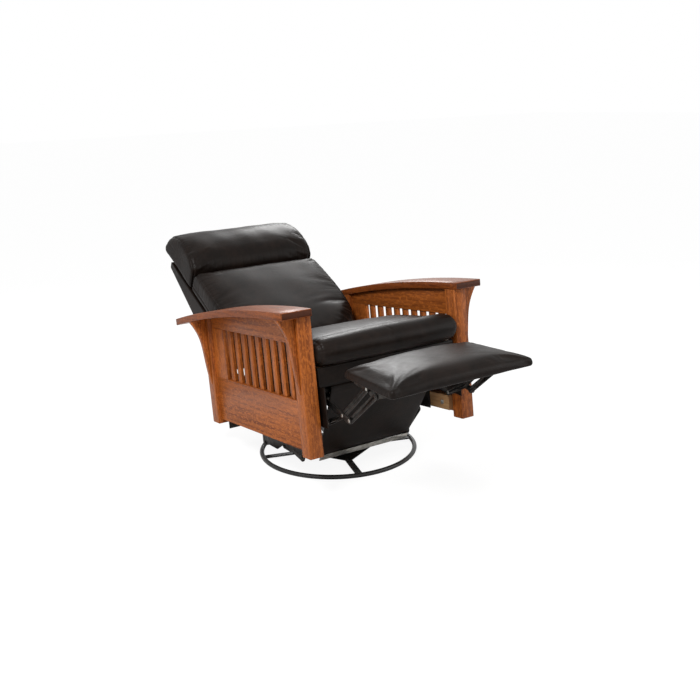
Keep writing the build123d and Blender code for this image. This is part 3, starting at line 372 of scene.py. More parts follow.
class Graph:
    """A node tree, filled by short calls."""

    def __init__(self, tree: bpy.types.NodeTree) -> None:
        """Starts with an empty tree."""
        self.tree = tree
        tree.nodes.clear()

    def add(self, kind: str, feeds: dict[str | int, Feed] | None = None,
            **settings: Any) -> bpy.types.Node:
        """A new node.

        Args:
            kind: Its type, without the leading ShaderNode.
            feeds: Socket name or index to a value or another node's output.
            **settings: Properties of the node, which are set first.

        Returns:
            The node.
        """
        node = self.tree.nodes.new("ShaderNode" + kind)
        for key, value in settings.items():
            setattr(node, key, value)
        for key, value in (feeds or {}).items():
            socket = node.inputs[key]
            if isinstance(value, Socket):
                self.tree.links.new(value, socket)
            else:
                socket.default_value = value
        return node

    def maths(self, operation: str, *values: Feed) -> Socket:
        """The result of a Math node on one, two or three values."""
        return self.add("Math", dict(enumerate(values)), operation=operation).outputs[0]

    def plus(self, first: Feed, second: Feed) -> Socket:
        """The sum of two vectors."""
        return self.add("VectorMath", {0: first, 1: second}, operation="ADD").outputs[0]

    def stretch(self, vector: Feed, scale: Point) -> Socket:
        """A vector multiplied along each axis."""
        return self.add("VectorMath", {0: vector, 1: scale}, operation="MULTIPLY").outputs[0]

    def dot(self, first: Feed, second: Feed) -> Socket:
        """The scalar product of two vectors."""
        feeds = {0: first, 1: second}
        return self.add("VectorMath", feeds, operation="DOT_PRODUCT").outputs[1]

    def mix(self, share: Feed, first: Feed, second: Feed) -> Socket:
        """A colour between two, by a share."""
        return self.add("Mix", {0: share, 6: first, 7: second}, data_type="RGBA").outputs[2]

    def spread(self, value: Feed, low: float, high: float,
               to_low: float = 0.0, to_high: float = 1.0) -> Socket:
        """A value stretched from one span to another, clamped, with soft ends."""
        feeds = {0: value, 1: low, 2: high, 3: to_low, 4: to_high}
        return self.add("MapRange", feeds, interpolation_type="SMOOTHSTEP").outputs[0]

    def noise(self, vector: Feed, scale: float, detail: float = 3.0,
              rough: float = 0.5) -> Socket:
        """The factor of a noise texture."""
        feeds = {"Vector": vector, "Scale": scale, "Detail": detail, "Roughness": rough}
        return self.add("TexNoise", feeds).outputs[0]

    def cells(self, vector: Feed, scale: float, feature: str) -> Socket:
        """The distance that a Voronoi texture gives, from its points or from its edges."""
        feeds = {"Vector": vector, "Scale": scale, "Randomness": 1.0}
        return self.add("TexVoronoi", feeds, feature=feature).outputs[0]

    def layer(self, vector: Feed, layer: Layer) -> Socket:
        """A layer's noise as it is."""
        return self.noise(self.stretch(vector, layer.scales), 1.0, layer.detail, layer.rough)

    def shown(self, vector: Feed, layer: Layer, most: float = 1.0) -> Socket:
        """A layer's noise, its span stretched to 0 to most."""
        return self.spread(self.layer(vector, layer), layer.low, layer.high, 0.0, most)

    def effect(self, group: bpy.types.NodeTree, vector: Feed,
               values: dict[str, Feed]) -> bpy.types.Node:
        """A shared effect placed in this tree with its own values."""
        return self.add("Group", {"Vector": vector} | values, node_tree=group)

    def surface(self, colour: Feed, rough: Feed, height: Feed, bump: tuple[float, float],
                values: dict[str, float] | None = None) -> None:
        """The material's shader and its output.

        Args:
            colour: Base colour.
            rough: Roughness.
            height: What raises the surface.
            bump: Strength of that, and the height of a whole unit of it.
            values: Other sockets of the Principled shader.
        """
        raised = self.add("Bump", {"Height": height, "Strength": bump[0], "Distance": bump[1]})
        feeds = {"Base Color": colour, "Roughness": rough, "Normal": raised.outputs[0]}
        shader = self.add("BsdfPrincipled", feeds | (values or {}))
        self.add("OutputMaterial", {0: shader.outputs[0]})

    def surface_of(self, effect: bpy.types.Node, bump: tuple[float, float],
                   values: dict[str, float]) -> None:
        """The shader, fed by an effect's colour, roughness and height."""
        parts = [effect.outputs[name] for name in ("Color", "Roughness", "Height")]
        self.surface(*parts, bump, values)


def new_material(name: str) -> tuple[Material, Graph]:
    """A material whose node tree is empty.

    Args:
        name: The material's name.

    Returns:
        The material and its graph.
    """
    material = bpy.data.materials.new(name)
    material.use_nodes = True
    return material, Graph(material.node_tree)


class Effect:
    """A shader node group that takes a place and values, and gives a look's three parts."""

    def __init__(self, name: str, values: dict[str, Feed]) -> None:
        """Makes the group and its sockets.

        Args:
            name: The group's name.
            values: Its inputs after Vector, each with its default: a colour or a number.
        """
        tree = bpy.data.node_groups.new(name, "ShaderNodeTree")
        sockets = tree.interface
        sockets.new_socket("Vector", in_out="INPUT", socket_type="NodeSocketVector")
        for label, value in values.items():
            kind = "NodeSocketColor" if isinstance(value, tuple) else "NodeSocketFloat"
            sockets.new_socket(label, in_out="INPUT", socket_type=kind).default_value = value
        for label, kind in (("Color", "Color"), ("Roughness", "Float"), ("Height", "Float")):
            sockets.new_socket(label, in_out="OUTPUT", socket_type="NodeSocket" + kind)
        self.graph = Graph(tree)
        self.given = tree.nodes.new("NodeGroupInput").outputs
        self.wanted = tree.nodes.new("NodeGroupOutput").inputs

    def give(self, colour: Socket, rough: Socket, height: Socket) -> bpy.types.NodeTree:
        """Links the three results.

        Args:
            colour: Of the surface.
            rough: Its roughness.
            height: What raises it.

        Returns:
            The finished group.
        """
        for label, value in (("Color", colour), ("Roughness", rough), ("Height", height)):
            self.graph.tree.links.new(value, self.wanted[label])
        return self.graph.tree


@dataclass(frozen=True)
class OakFigure:
    """Oak along the vector's X: long grain, growth bands, pores, ray flecks and end grain."""

    sway: Layer = Layer((1.2, 5.0, 5.0), 2.0)
    bend_from: Point = (0.0, 0.02, 0.02)
    bend_by: Point = (0.0, 0.25, 0.25)
    bands: Layer = Layer((1.6, 95.0, 95.0), 4.0, 0.6, strength=0.75)
    streaks: Layer = Layer((9.0, 620.0, 620.0), 3.0, 0.6, strength=0.45)
    tones: tuple[float, float] = (0.34, 0.86)
    pores: Layer = Layer((55.0, 1500.0, 1500.0), 2.0, low=0.62, high=0.74, strength=0.7)
    waves: Layer = Layer((34.0, 11.0, 11.0), 2.0, 0.4)
    twist: Point = (2.4, 0.0, 0.0)
    flecks: Layer = Layer((60.0, 150.0, 150.0), 2.5, 0.55, 0.50, 0.60, 0.75)
    specks: Layer = Layer((170.0, 520.0, 520.0), 3.0, 0.6, 0.50, 0.68, 0.5)
    patches: Layer = Layer((2.0, 9.0, 9.0), 2.0, 0.5, 0.35, 0.7, 0.28)
    rings: Layer = Layer((20.0, 210.0, 210.0), 4.0, 0.7, 0.35, 0.65, 0.5)
    rough_base: float = 0.3
    rough_streaks: float = 0.14
    rough_pores: float = 0.2
    high_streaks: float = 0.3
    deep_pores: float = -0.6

    def bent(self, graph: Graph, vector: Socket) -> Socket:
        """The vector moved across the grain by its own place times a slow noise.

        Args:
            graph: The group's graph.
            vector: Where the surface is.

        Returns:
            The moved vector.
        """
        feeds = {0: graph.stretch(vector, self.bend_from), 3: graph.layer(vector, self.sway)}
        moved = graph.add("VectorMath", feeds, operation="SCALE").outputs[0]
        return graph.plus(vector, graph.stretch(moved, self.bend_by))

    def fleck_mask(self, graph: Graph, vector: Socket) -> Socket:
        """Ray flecks: a noise whose place along the grain is moved by another noise.

        Args:
            graph: The group's graph.
            vector: Where the surface is.

        Returns:
            0 between the flecks to 1 on them.
        """
        waves = graph.layer(vector, self.waves)
        both = graph.add("CombineXYZ", {0: waves, 1: waves, 2: 0.0}).outputs[0]
        flecks = self.flecks
        where = graph.plus(graph.stretch(vector, flecks.scales), graph.stretch(both, self.twist))
        noise = graph.noise(where, 1.0, flecks.detail, flecks.rough)
        return graph.spread(noise, flecks.low, flecks.high)

    def group(self) -> bpy.types.NodeTree:
        """Builds the node group.

        Returns:
            The group.
        """
        effect = Effect("oak_figure", {
            "Across End": 0.0, "Light": tint(178, 112, 64), "Dark": tint(112, 62, 33),
            "End": tint(74, 43, 27), "Fleck": 0.6})
        graph, given = effect.graph, effect.given
        vector, light, dark = given["Vector"], given["Light"], given["Dark"]
        bent = self.bent(graph, vector)
        bands, streaks = graph.layer(bent, self.bands), graph.layer(bent, self.streaks)
        pores, specks = graph.shown(bent, self.pores), graph.shown(vector, self.specks)
        flecks = graph.maths("MULTIPLY", self.fleck_mask(graph, vector), given["Fleck"])
        tone = graph.maths("MULTIPLY", bands, self.bands.strength)
        tone = graph.maths("MULTIPLY_ADD", streaks, self.streaks.strength, tone)
        wood = graph.mix(graph.spread(tone, *self.tones), light, dark)
        for mask, layer, colour in ((flecks, self.flecks, light), (specks, self.specks, dark),
                                    (pores, self.pores, dark)):
            wood = graph.mix(graph.maths("MULTIPLY", mask, layer.strength), wood, colour)
        wood = graph.mix(graph.shown(vector, self.patches, self.patches.strength), wood, dark)
        rings = graph.shown(vector, self.rings, self.rings.strength)
        wood = graph.mix(given["Across End"], wood, graph.mix(rings, given["End"], dark))
        rough = graph.maths("MULTIPLY_ADD", streaks, self.rough_streaks, self.rough_base)
        rough = graph.maths("MULTIPLY_ADD", pores, self.rough_pores, rough)
        height = graph.maths("MULTIPLY", streaks, self.high_streaks)
        height = graph.maths("MULTIPLY_ADD", pores, self.deep_pores, height)
        return effect.give(wood, rough, height)


@dataclass(frozen=True)
class LeatherGrain:
    """Leather: pebbled grain, soft creases with painted shade in them, mottling and rubbed places.
    """

    pebbles: float = 620.0
    fine: float = 900.0
    mottle: float = 9.0
    clouds: float = 38.0
    creases: float = 34.0
    crease_long: Point = (1.0, 1.0, 1.6)
    crease_width: float = 0.16
    crease_spots: float = 6.0
    crease_span: tuple[float, float] = (0.45, 0.65)
    worn_span: tuple[float, float] = (0.36, 0.7)
    worn_most: float = 0.6
    # how far the creases' colour is darkened towards Deep: painted shade
    crease_painted_shade: float = 0.4
    rough_base: float = 0.24
    rough_pebbles: float = 0.10
    rough_clouds: float = 0.20
    high_pebbles: float = 0.24
    high_fine: float = 0.1
    deep_creases: float = -0.9

    def crease_mask(self, graph: Graph, vector: Socket, amount: Socket) -> Socket:
        """Creases: the edges of long cells, in spots where a slow noise is high.

        Args:
            graph: The group's graph.
            vector: Where the surface is.
            amount: How strong they are.

        Returns:
            0 between the creases to the amount on them.
        """
        long_cells = graph.stretch(vector, self.crease_long)
        edges = graph.cells(long_cells, self.creases, "DISTANCE_TO_EDGE")
        crease = graph.spread(edges, 0.0, self.crease_width, 1.0, 0.0)
        spots = graph.spread(graph.noise(vector, self.crease_spots, 2.0), *self.crease_span)
        return graph.maths("MULTIPLY", graph.maths("MULTIPLY", crease, spots), amount)

    def group(self) -> bpy.types.NodeTree:
        """Builds the node group.

        Returns:
            The group.
        """
        effect = Effect("leather_grain", {
            "Deep": tint(30, 25, 22), "Worn": tint(70, 54, 44), "Creases": 0.5})
        graph, given = effect.graph, effect.given
        vector, deep = given["Vector"], given["Deep"]
        pebble = graph.cells(vector, self.pebbles, "F1")
        fine = graph.noise(vector, self.fine, 3.0)
        mottle = graph.noise(vector, self.mottle, 4.0, 0.6)
        cloudy = graph.noise(vector, self.clouds, 4.0, 0.6)
        crease = self.crease_mask(graph, vector, given["Creases"])
        tone = graph.maths("MULTIPLY_ADD", cloudy, 0.4, graph.maths("MULTIPLY", mottle, 0.6))
        worn = graph.spread(tone, *self.worn_span, 0.0, self.worn_most)
        colour = graph.mix(worn, deep, given["Worn"])
        # darkens the colour towards Deep along the creases: painted shade in them
        colour = graph.mix(graph.maths("MULTIPLY", crease, self.crease_painted_shade), colour, deep)
        rough = graph.maths("MULTIPLY_ADD", pebble, self.rough_pebbles, self.rough_base)
        rough = graph.maths("MULTIPLY_ADD", cloudy, self.rough_clouds, rough)
        grain = graph.maths("MULTIPLY", fine, self.high_fine)
        grain = graph.maths("MULTIPLY_ADD", pebble, self.high_pebbles, grain)
        height = graph.maths("MULTIPLY_ADD", crease, self.deep_creases, grain)
        return effect.give(colour, rough, height)


@dataclass(frozen=True)
class MetalWear:
    """Rolled steel: fine brushing, stains and dull patches."""

    stains: float = 60.0
    stain_span: tuple[float, float] = (0.38, 0.66)
    brushing: Layer = Layer((90.0, 900.0, 900.0), 2.0)
    rough_stains: float = 0.14
    rough_brushing: float = 0.06
    high_stains: float = 0.5

    def group(self) -> bpy.types.NodeTree:
        """Builds the node group.

        Returns:
            The group.
        """
        effect = Effect("metal_wear", {
            "Clean": tint(60, 58, 56), "Stained": tint(34, 31, 29), "Shine": 0.4})
        graph, given = effect.graph, effect.given
        stain = graph.noise(given["Vector"], self.stains, 4.0, 0.55)
        brush = graph.layer(given["Vector"], self.brushing)
        colour = graph.mix(graph.spread(stain, *self.stain_span), given["Clean"], given["Stained"])
        rough = graph.maths("MULTIPLY_ADD", stain, self.rough_stains, given["Shine"])
        rough = graph.maths("MULTIPLY_ADD", brush, self.rough_brushing, rough)
        height = graph.maths("MULTIPLY_ADD", stain, self.high_stains, brush)
        return effect.give(colour, rough, height)


class Grain(Enum):
    """Which way the wood grain runs, in the chair's frame."""

    ALONG = ((0, 1, 0), (1, 0, 0), (0, 0, -1))      # front to back
    UPRIGHT = ((0, 0, 1), (1, 0, 0), (0, 1, 0))
    ACROSS = ((1, 0, 0), (0, 1, 0), (0, 0, 1))      # side to side

    def axes(self) -> Matrix:
        """Turns the shared frame so that its X runs along the grain."""
        return Matrix(self.value) @ PLACES.chair().to_3x3().inverted()


@dataclass(frozen=True)
class OakFinish:
    """Stained oak under satin varnish."""

    effect: bpy.types.NodeTree
    light: Colour = tint(184, 103, 43)
    dark: Colour = tint(94, 43, 14)
    end: Colour = tint(62, 32, 17)
    fleck: float = 1.0
    coat: float = 0.05
    coat_rough: float = 0.28
    gloss: float = 0.16
    end_grain_from: float = 0.86
    end_grain_over: float = 0.1
    cell_start: float = 0.087
    cell_jump: float = 3.7
    shift_turns: Point = (1.0, 0.37, 0.61)
    bump: tuple[float, float] = (0.5, 0.0007)

    def by_cell(self, graph: Graph, where: Socket, turned: Socket, cell: float) -> Socket:
        """Moves the figure on by a jump for each cell along the chair.

        A cell's number is the floor of its distance from cell_start over its pitch.

        Args:
            graph: The material's graph.
            where: The object's own coordinates.
            turned: The same, turned along the grain.
            cell: The cells' pitch.

        Returns:
            The coordinates that the figure reads.
        """
        chair = PLACES.chair().inverted()
        along = graph.dot(where, tuple(value / cell for value in chair.row[1][:3]))
        start = (chair.row[1][3] - self.cell_start) / cell
        number = graph.maths("FLOOR", graph.maths("ADD", along, start))
        jump = graph.maths("MULTIPLY", number, self.cell_jump)
        return graph.plus(turned, graph.add("CombineXYZ", {0: jump, 1: number, 2: 0.0}).outputs[0])

    def material(self, name: str, grain: Grain, shift: float, cell: float = 0.0) -> Material:
        """The finish on one piece of wood.

        Args:
            name: The material's name.
            grain: Which way its grain runs.
            shift: Slides the figure, so that no two pieces show the same.
            cell: Pitch along the chair of repeated pieces that each get their own figure.

        Returns:
            The material.
        """
        material, graph = new_material(name)
        where = graph.add("TexCoord").outputs
        axes = grain.axes()
        offset = tuple(shift * share for share in self.shift_turns)
        feeds = {"Vector": where["Object"], "Location": offset, "Rotation": axes.to_euler()}
        turned = graph.add("Mapping", feeds).outputs[0]
        if cell:
            turned = self.by_cell(graph, where["Object"], turned, cell)
        facing = graph.maths("ABSOLUTE", graph.dot(where["Normal"], tuple(axes.row[0])))
        end_from = self.end_grain_from
        across = graph.spread(facing, end_from, end_from + self.end_grain_over)
        figure = graph.effect(self.effect, turned, {
            "Across End": across, "Light": self.light, "Dark": self.dark, "End": self.end,
            "Fleck": self.fleck})
        graph.surface_of(figure, self.bump, {
            "Specular IOR Level": self.gloss, "Coat Weight": self.coat,
            "Coat Roughness": self.coat_rough})
        return material


@dataclass(frozen=True)
class LeatherFinish:
    """Dark brown leather, softly glossy."""

    effect: bpy.types.NodeTree
    deep: Colour = tint(17, 12, 9)
    worn: Colour = tint(36, 26, 21)
    creases: float = 0.5
    bump: tuple[float, float] = (0.6, 0.0004)
    gloss: float = 0.11

    def material(self, name: str) -> Material:
        """The leather as a material.

        Args:
            name: The material's name.

        Returns:
            The material.
        """
        material, graph = new_material(name)
        grain = graph.effect(self.effect, graph.add("TexCoord").outputs["Object"], {
            "Deep": self.deep, "Worn": self.worn, "Creases": self.creases})
        graph.surface_of(grain, self.bump, {"Specular IOR Level": self.gloss})
        return material


@dataclass(frozen=True)
class SteelFinish:
    """Painted, oiled or plated steel."""

    effect: bpy.types.NodeTree
    clean: Colour = tint(62, 59, 56)
    stained: Colour = tint(44, 41, 39)
    shine: float = 0.3
    metallic: float = 0.85
    bump: tuple[float, float] = (0.06, 0.00005)

    def material(self, name: str) -> Material:
        """The steel as a material.

        Args:
            name: The material's name.

        Returns:
            The material.
        """
        material, graph = new_material(name)
        wear = graph.effect(self.effect, graph.add("TexCoord").outputs["Object"], {
            "Clean": self.clean, "Stained": self.stained, "Shine": self.shine})
        graph.surface_of(wear, self.bump, {"Metallic": self.metallic})
        return material


@dataclass(frozen=True)
class WovenFinish:
    """Plain woven webbing."""

    base: Colour = tint(52, 46, 40)
    thread: Colour = tint(84, 76, 66)
    rate: float = 2638.86    # radians of the threads' waves in a metre
    rough: float = 0.85
    bump: tuple[float, float] = (0.4, 0.0005)

    def material(self, name: str) -> Material:
        """The weave: the product of two sets of waves, one along each direction.

        Args:
            name: The material's name.

        Returns:
            The material.
        """
        material, graph = new_material(name)
        parts = graph.add("SeparateXYZ", {0: graph.add("TexCoord").outputs["Object"]}).outputs
        warp, weft = (
            graph.maths("SINE", graph.maths("MULTIPLY", parts[axis], self.rate)) for axis in (0, 1))
        weave = graph.maths("MULTIPLY_ADD", graph.maths("MULTIPLY", warp, weft), 0.5, 0.5)
        graph.surface(graph.mix(weave, self.base, self.thread), self.rough, weave, self.bump)
        return material


class Wood(Enum):
    """The chair's wooden finishes."""

    SIDES = "sides"
    ARMS = "arms"
    BARE = "bare"


class Finishes:
    """Every finish of the chair, built on the shared groups."""

    def __init__(self) -> None:
        """Builds the groups and the finishes that several pieces share."""
        oak, grain, wear = OakFigure().group(), LeatherGrain().group(), MetalWear().group()
        self.woods = {
            Wood.SIDES: OakFinish(oak),
            Wood.ARMS: OakFinish(oak, light=tint(150, 80, 34), dark=tint(80, 35, 13)),
            Wood.BARE: OakFinish(oak, light=tint(176, 140, 100), dark=tint(140, 102, 66),
                                 end=tint(120, 86, 58), fleck=0.2, coat=0.0),
        }
        self.leather = LeatherFinish(grain).material("leather")
        self.mechanism = SteelFinish(wear).material("mechanism_steel")
        painted = SteelFinish(wear, tint(30, 29, 28), tint(20, 19, 18), 0.22, 0.2)
        plated = SteelFinish(wear, tint(190, 188, 182), tint(160, 157, 150), 0.22, 0.9)
        self.by_slot = {
            "ring_steel": painted.material("ring_steel"),
            "bright_steel": plated.material("bright_steel"),
            "webbing": WovenFinish().material("webbing"),
        }


def dress(node: str, material: Material, bevel: float = 0.0, smooth: bool = True) -> None:
    """Gives a CAD node its finish, smooth curves and lightly rounded edges.

    Args:
        node: The node's name.
        material: Its finish.
        bevel: Width of the rounding on its edges, or 0 for none.
        smooth: Whether its faces are shaded as one curve.
    """
    piece = frame["nodes"][node]
    piece.data.materials.clear()
    piece.data.materials.append(material)
    piece.data.polygons.foreach_set("use_smooth", np.full(len(piece.data.polygons), smooth))
    weld = piece.modifiers.new("weld", "WELD")
    weld.merge_threshold = WELD_WITHIN
    if bevel:
        rounding = piece.modifiers.new("rounding", "BEVEL")
        rounding.limit_method = "ANGLE"
        rounding.angle_limit = radians(EDGE_ANGLE)
        rounding.width = bevel
        rounding.segments = 2
        rounding.harden_normals = True


@dataclass(frozen=True)
class Boards:
    """Wooden nodes that are dressed alike, and where in the figure each is cut."""

    nodes: tuple[str, ...]
    wood: Wood
    grain: Grain
    shift: float
    step: float = 0.0      # from one node to the next
    cell: float = 0.0      # pitch of the pieces within a node
    sided: bool = True     # whether there is one for each side
    rounded: bool = True


class OakWork:
    """The oak sides, and the bare wood inside the chair."""

    rounding: float = 0.0016
    side_shift: float = 5.3
    boards: tuple[Boards, ...] = (
        Boards(("front_leg", "rear_leg"), Wood.SIDES, Grain.UPRIGHT, 0.0, 1.7),
        Boards(("slats",), Wood.SIDES, Grain.UPRIGHT, 4.1, cell=0.0576),
        Boards(("bottom_rail", "top_rail"), Wood.SIDES, Grain.ALONG, 7.3, 2.9),
        Boards(("arm",), Wood.ARMS, Grain.ALONG, 11.1),
        Boards(("cleat",), Wood.BARE, Grain.ALONG, 13.7, rounded=False),
        Boards(("front_corbels", "rear_corbels", "side_stiles"), Wood.SIDES, Grain.UPRIGHT,
               17.9, 3.3, sided=False),
        Boards(("seat_box", "back_frame", "footrest_board"), Wood.BARE, Grain.ACROSS,
               21.1, 2.3, sided=False),
    )

    def __init__(self, finishes: Finishes) -> None:
        """Keeps the finishes."""
        self.finishes = finishes

    def build(self) -> None:
        """Dresses every wooden node."""
        for boards in self.boards:
            finish = self.finishes.woods[boards.wood]
            for turn, side in enumerate(("left_", "right_") if boards.sided else ("",)):
                for number, name in enumerate(boards.nodes):
                    node = side + name
                    shift = self.side_shift * turn + boards.shift + boards.step * number
                    material = finish.material(node, boards.grain, shift, boards.cell)
                    edge = self.rounding if boards.rounded else 0.0
                    dress(node, material, edge, smooth=boards.rounded)
                    LOG.info("%s: %s", node, boards.wood.value)


class IronWork:
    """The base, the swivel, the glider and the footrest's bars."""

    rounding: float = 0.0006
    other_slots: tuple[str, ...] = ("oak", "bare_wood", "leather")
    round_node: str = "base_ring"

    def __init__(self, finishes: Finishes) -> None:
        """Keeps the finishes."""
        self.finishes = finishes

    def build(self) -> None:
        """Dresses every steel node by the slot that the record gives it."""
        for row in frame["record"]["subparts"]:
            node, slot = row["node"], row["material_slot"]
            if slot not in self.other_slots:
                material = self.finishes.by_slot.get(slot, self.finishes.mechanism)
                dress(node, material, 0.0 if node == self.round_node else self.rounding)
                LOG.info("%s: %s", node, slot)


class Pivot(Enum):
    """The footrest's pivots, as Y and Z in the chair's frame."""

    REAR = (0.085, 0.204)
    CROSS = (-0.075, 0.147)
    KNEE = (-0.115, 0.136)
    TAIL = (0.019, 0.108)
    CONTROL = (0.1815, 0.1639)
    UPPER = (-0.229, 0.258)
    LOWER = (-0.270, 0.239)


@dataclass(frozen=True)
class Rivet:
    """A rivet's head: what it moves with, its pivot, and the X of the face it closes."""

    body: str
    pivot: Pivot
    face: float
    outward: bool = True


class Rivets:
    """Bright rivet heads on the footrest's linkage, on both sides of the chair."""

    radius: float = 0.0063
    height: float = 0.00095
    around: int = 16
    tilts: tuple[float, ...] = (90.0, 68.0, 44.0, 22.0)
    heads: tuple[Rivet, ...] = (
        Rivet("rear_bars", Pivot.CROSS, 0.261), Rivet("rear_bars", Pivot.KNEE, 0.261),
        Rivet("rear_bars", Pivot.CROSS, 0.254, False), Rivet("rear_bars", Pivot.KNEE, 0.250, False),
        Rivet("control_links", Pivot.TAIL, 0.261), Rivet("control_links", Pivot.TAIL, 0.254, False),
        Rivet("footrest", Pivot.UPPER, 0.257), Rivet("footrest", Pivot.LOWER, 0.253),
        Rivet("seat", Pivot.REAR, 0.265), Rivet("seat", Pivot.CONTROL, 0.265),
        Rivet("seat", Pivot.REAR, 0.258, False), Rivet("seat", Pivot.CONTROL, 0.258, False),
    )

    def __init__(self, finishes: Finishes) -> None:
        """Keeps the finishes."""
        self.finishes = finishes

    def dome(self, rivet: Rivet, side: int) -> Surface:
        """One head: rings of radius r * sin a at a height h * cos a over its face.

        Args:
            rivet: Which head.
            side: 1 for the sitter's left, -1 for the right.

        Returns:
            Vertices and faces, as skin gives them.
        """
        turn = np.linspace(0.0, FULL_TURN, self.around, endpoint=False)
        tilt = np.radians(self.tilts)[:, None]
        reach = self.radius * np.sin(tilt)
        y, z = rivet.pivot.value
        x = rivet.face + self.height * np.cos(tilt) * (1 if rivet.outward else -1)
        rings = np.stack((y + reach * np.cos(turn), z + reach * np.sin(turn)), axis=-1)
        return skin(loops_across((side * x)[:, 0], [rings]), 1)

    def build(self) -> None:
        """Makes one piece of heads for each body."""
        for body in dict.fromkeys(rivet.body for rivet in self.heads):
            rivets = [rivet for rivet in self.heads if rivet.body == body]
            domes = [self.dome(rivet, side) for rivet in rivets for side in (-1, 1)]
            vertices, faces = joined(domes)
            name = f"{body}_rivet_heads"
            bright = self.finishes.by_slot["bright_steel"]
            piece = make_piece(name, place(vertices, PLACES.chair()), faces, bright)
            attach(piece, body)
            LOG.info("%s: %d heads", name, len(domes))


@dataclass(frozen=True)
class Swelling:
    """How a padded piece is filled: a short run of cloth blown up from inside."""

    cap: float
    voxel: float = 0.007
    soften: int = 3
    shrink: float = 0.001
    pressure: float = 5.0
    frames: int = 20
    quality: int = 4
    bend: float = 0.8

    def fill(self, piece: Piece, where: Matrix, held: Callable[[Array], Array]) -> None:
        """Remeshes the piece evenly, draws it in, blows it up and refines it.

        Args:
            piece: The closed start shape.
            where: The frame in which held looks at the points.
            held: Gives True for each point that rests on something and stays.
        """
        even = piece.modifiers.new("even", "REMESH")
        even.mode = "VOXEL"
        even.voxel_size = self.voxel
        soften = piece.modifiers.new("soften", "SMOOTH")
        soften.iterations = self.soften
        apply_modifiers(piece)
        start = vertex_places(piece.data)
        stays = held(place(start, where.inverted()))
        start -= vertex_normals(piece.data) * self.shrink * ~stays[:, None]
        move_vertices(piece.data, start)
        group = piece.vertex_groups.new(name="held")
        group.add(np.flatnonzero(stays).tolist(), 1.0, "REPLACE")
        self.blow(piece, start, group.name)
        finer = piece.modifiers.new("finer", "SUBSURF")
        finer.levels = finer.render_levels = 1
        apply_modifiers(piece)

    def blow(self, piece: Piece, start: Array, group: str) -> None:
        """Runs the cloth and moves each point by cap * tanh(length / cap) of its way.

        Args:
            piece: The piece, evenly meshed.
            start: Where its points are.
            group: Its vertex group of held points.
        """
        cloth = piece.modifiers.new("cloth", "CLOTH")
        cloth.settings.quality = self.quality
        cloth.settings.bending_stiffness = self.bend
        cloth.settings.use_pressure = True
        cloth.settings.uniform_pressure_force = self.pressure
        cloth.settings.vertex_group_mass = group
        cloth.settings.effector_weights.gravity = 0.0
        cloth.point_cache.frame_start = 1
        cloth.point_cache.frame_end = self.frames
        scene = bpy.context.scene
        for number in range(1, self.frames + 1):
            scene.frame_set(number)
        blown = piece.evaluated_get(bpy.context.evaluated_depsgraph_get()).to_mesh()
        way = vertex_places(blown) - start
        piece.modifiers.clear()
        scene.frame_set(1)
        length = np.maximum(np.linalg.norm(way, axis=1, keepdims=True), TINY)
        move_vertices(piece.data, start + way * self.cap * np.tanh(length / self.cap) / length)


@dataclass(frozen=True)
class Seam:
    """A sewn line: a groove in the leather, with puckers that run out from it."""

    depth: float
    width: float
    pucker: float
    reach: float
    pitch: float
    seed: int
    pitches: Point = (1.0, 0.63, 1.71)
    lift: float = 0.15

    def relief(self, across: Array, along: Array, strength: Array | float = 1.0) -> Array:
        """How far the leather is drawn in near the seam.

        The groove is depth * exp(-(across / width)^2). The puckers are the positive part of
        three cosines of uneven pitch, to the power 1.5, and fade as exp(-|across| / reach).

        Args:
            across: Distance of each point from the seam.
            along: Place of each point along the seam.
            strength: Of both, for each point.

        Returns:
            The depth at each point.
        """
        draw = np.random.default_rng(self.seed)
        wave = np.zeros_like(along)
        for stretch in self.pitches:
            turn = FULL_TURN * along / (self.pitch * stretch)
            wave += np.cos(turn + draw.uniform(0.0, FULL_TURN))
        folds = np.clip(wave / 3 + self.lift, 0.0, None) ** 1.5
        groove = self.depth * np.exp(-((across / self.width) ** 2))
        return strength * (groove + self.pucker * folds * np.exp(-np.abs(across) / self.reach))


@dataclass(frozen=True)
class Slack:
    """Soft hollows of the leather over its filling."""

    height: float
    size: float
    seed: int
    waves: int = 6
    shares: tuple[float, float] = (0.6, 1.5)

    def relief(self, points: Array) -> Array:
        """A few sine waves in uneven directions, each a share of the size long.

        Args:
            points: (n, 3) places.

        Returns:
            The depth at each point.
        """
        draw = np.random.default_rng(self.seed)
        total = np.zeros(len(points))
        for _ in range(self.waves):
            heading = draw.normal(size=3)
            length = self.size * draw.uniform(*self.shares)
            heading *= FULL_TURN / (length * np.linalg.norm(heading))
            total += np.sin(points @ heading + draw.uniform(0.0, FULL_TURN))
        return self.height * total / self.waves


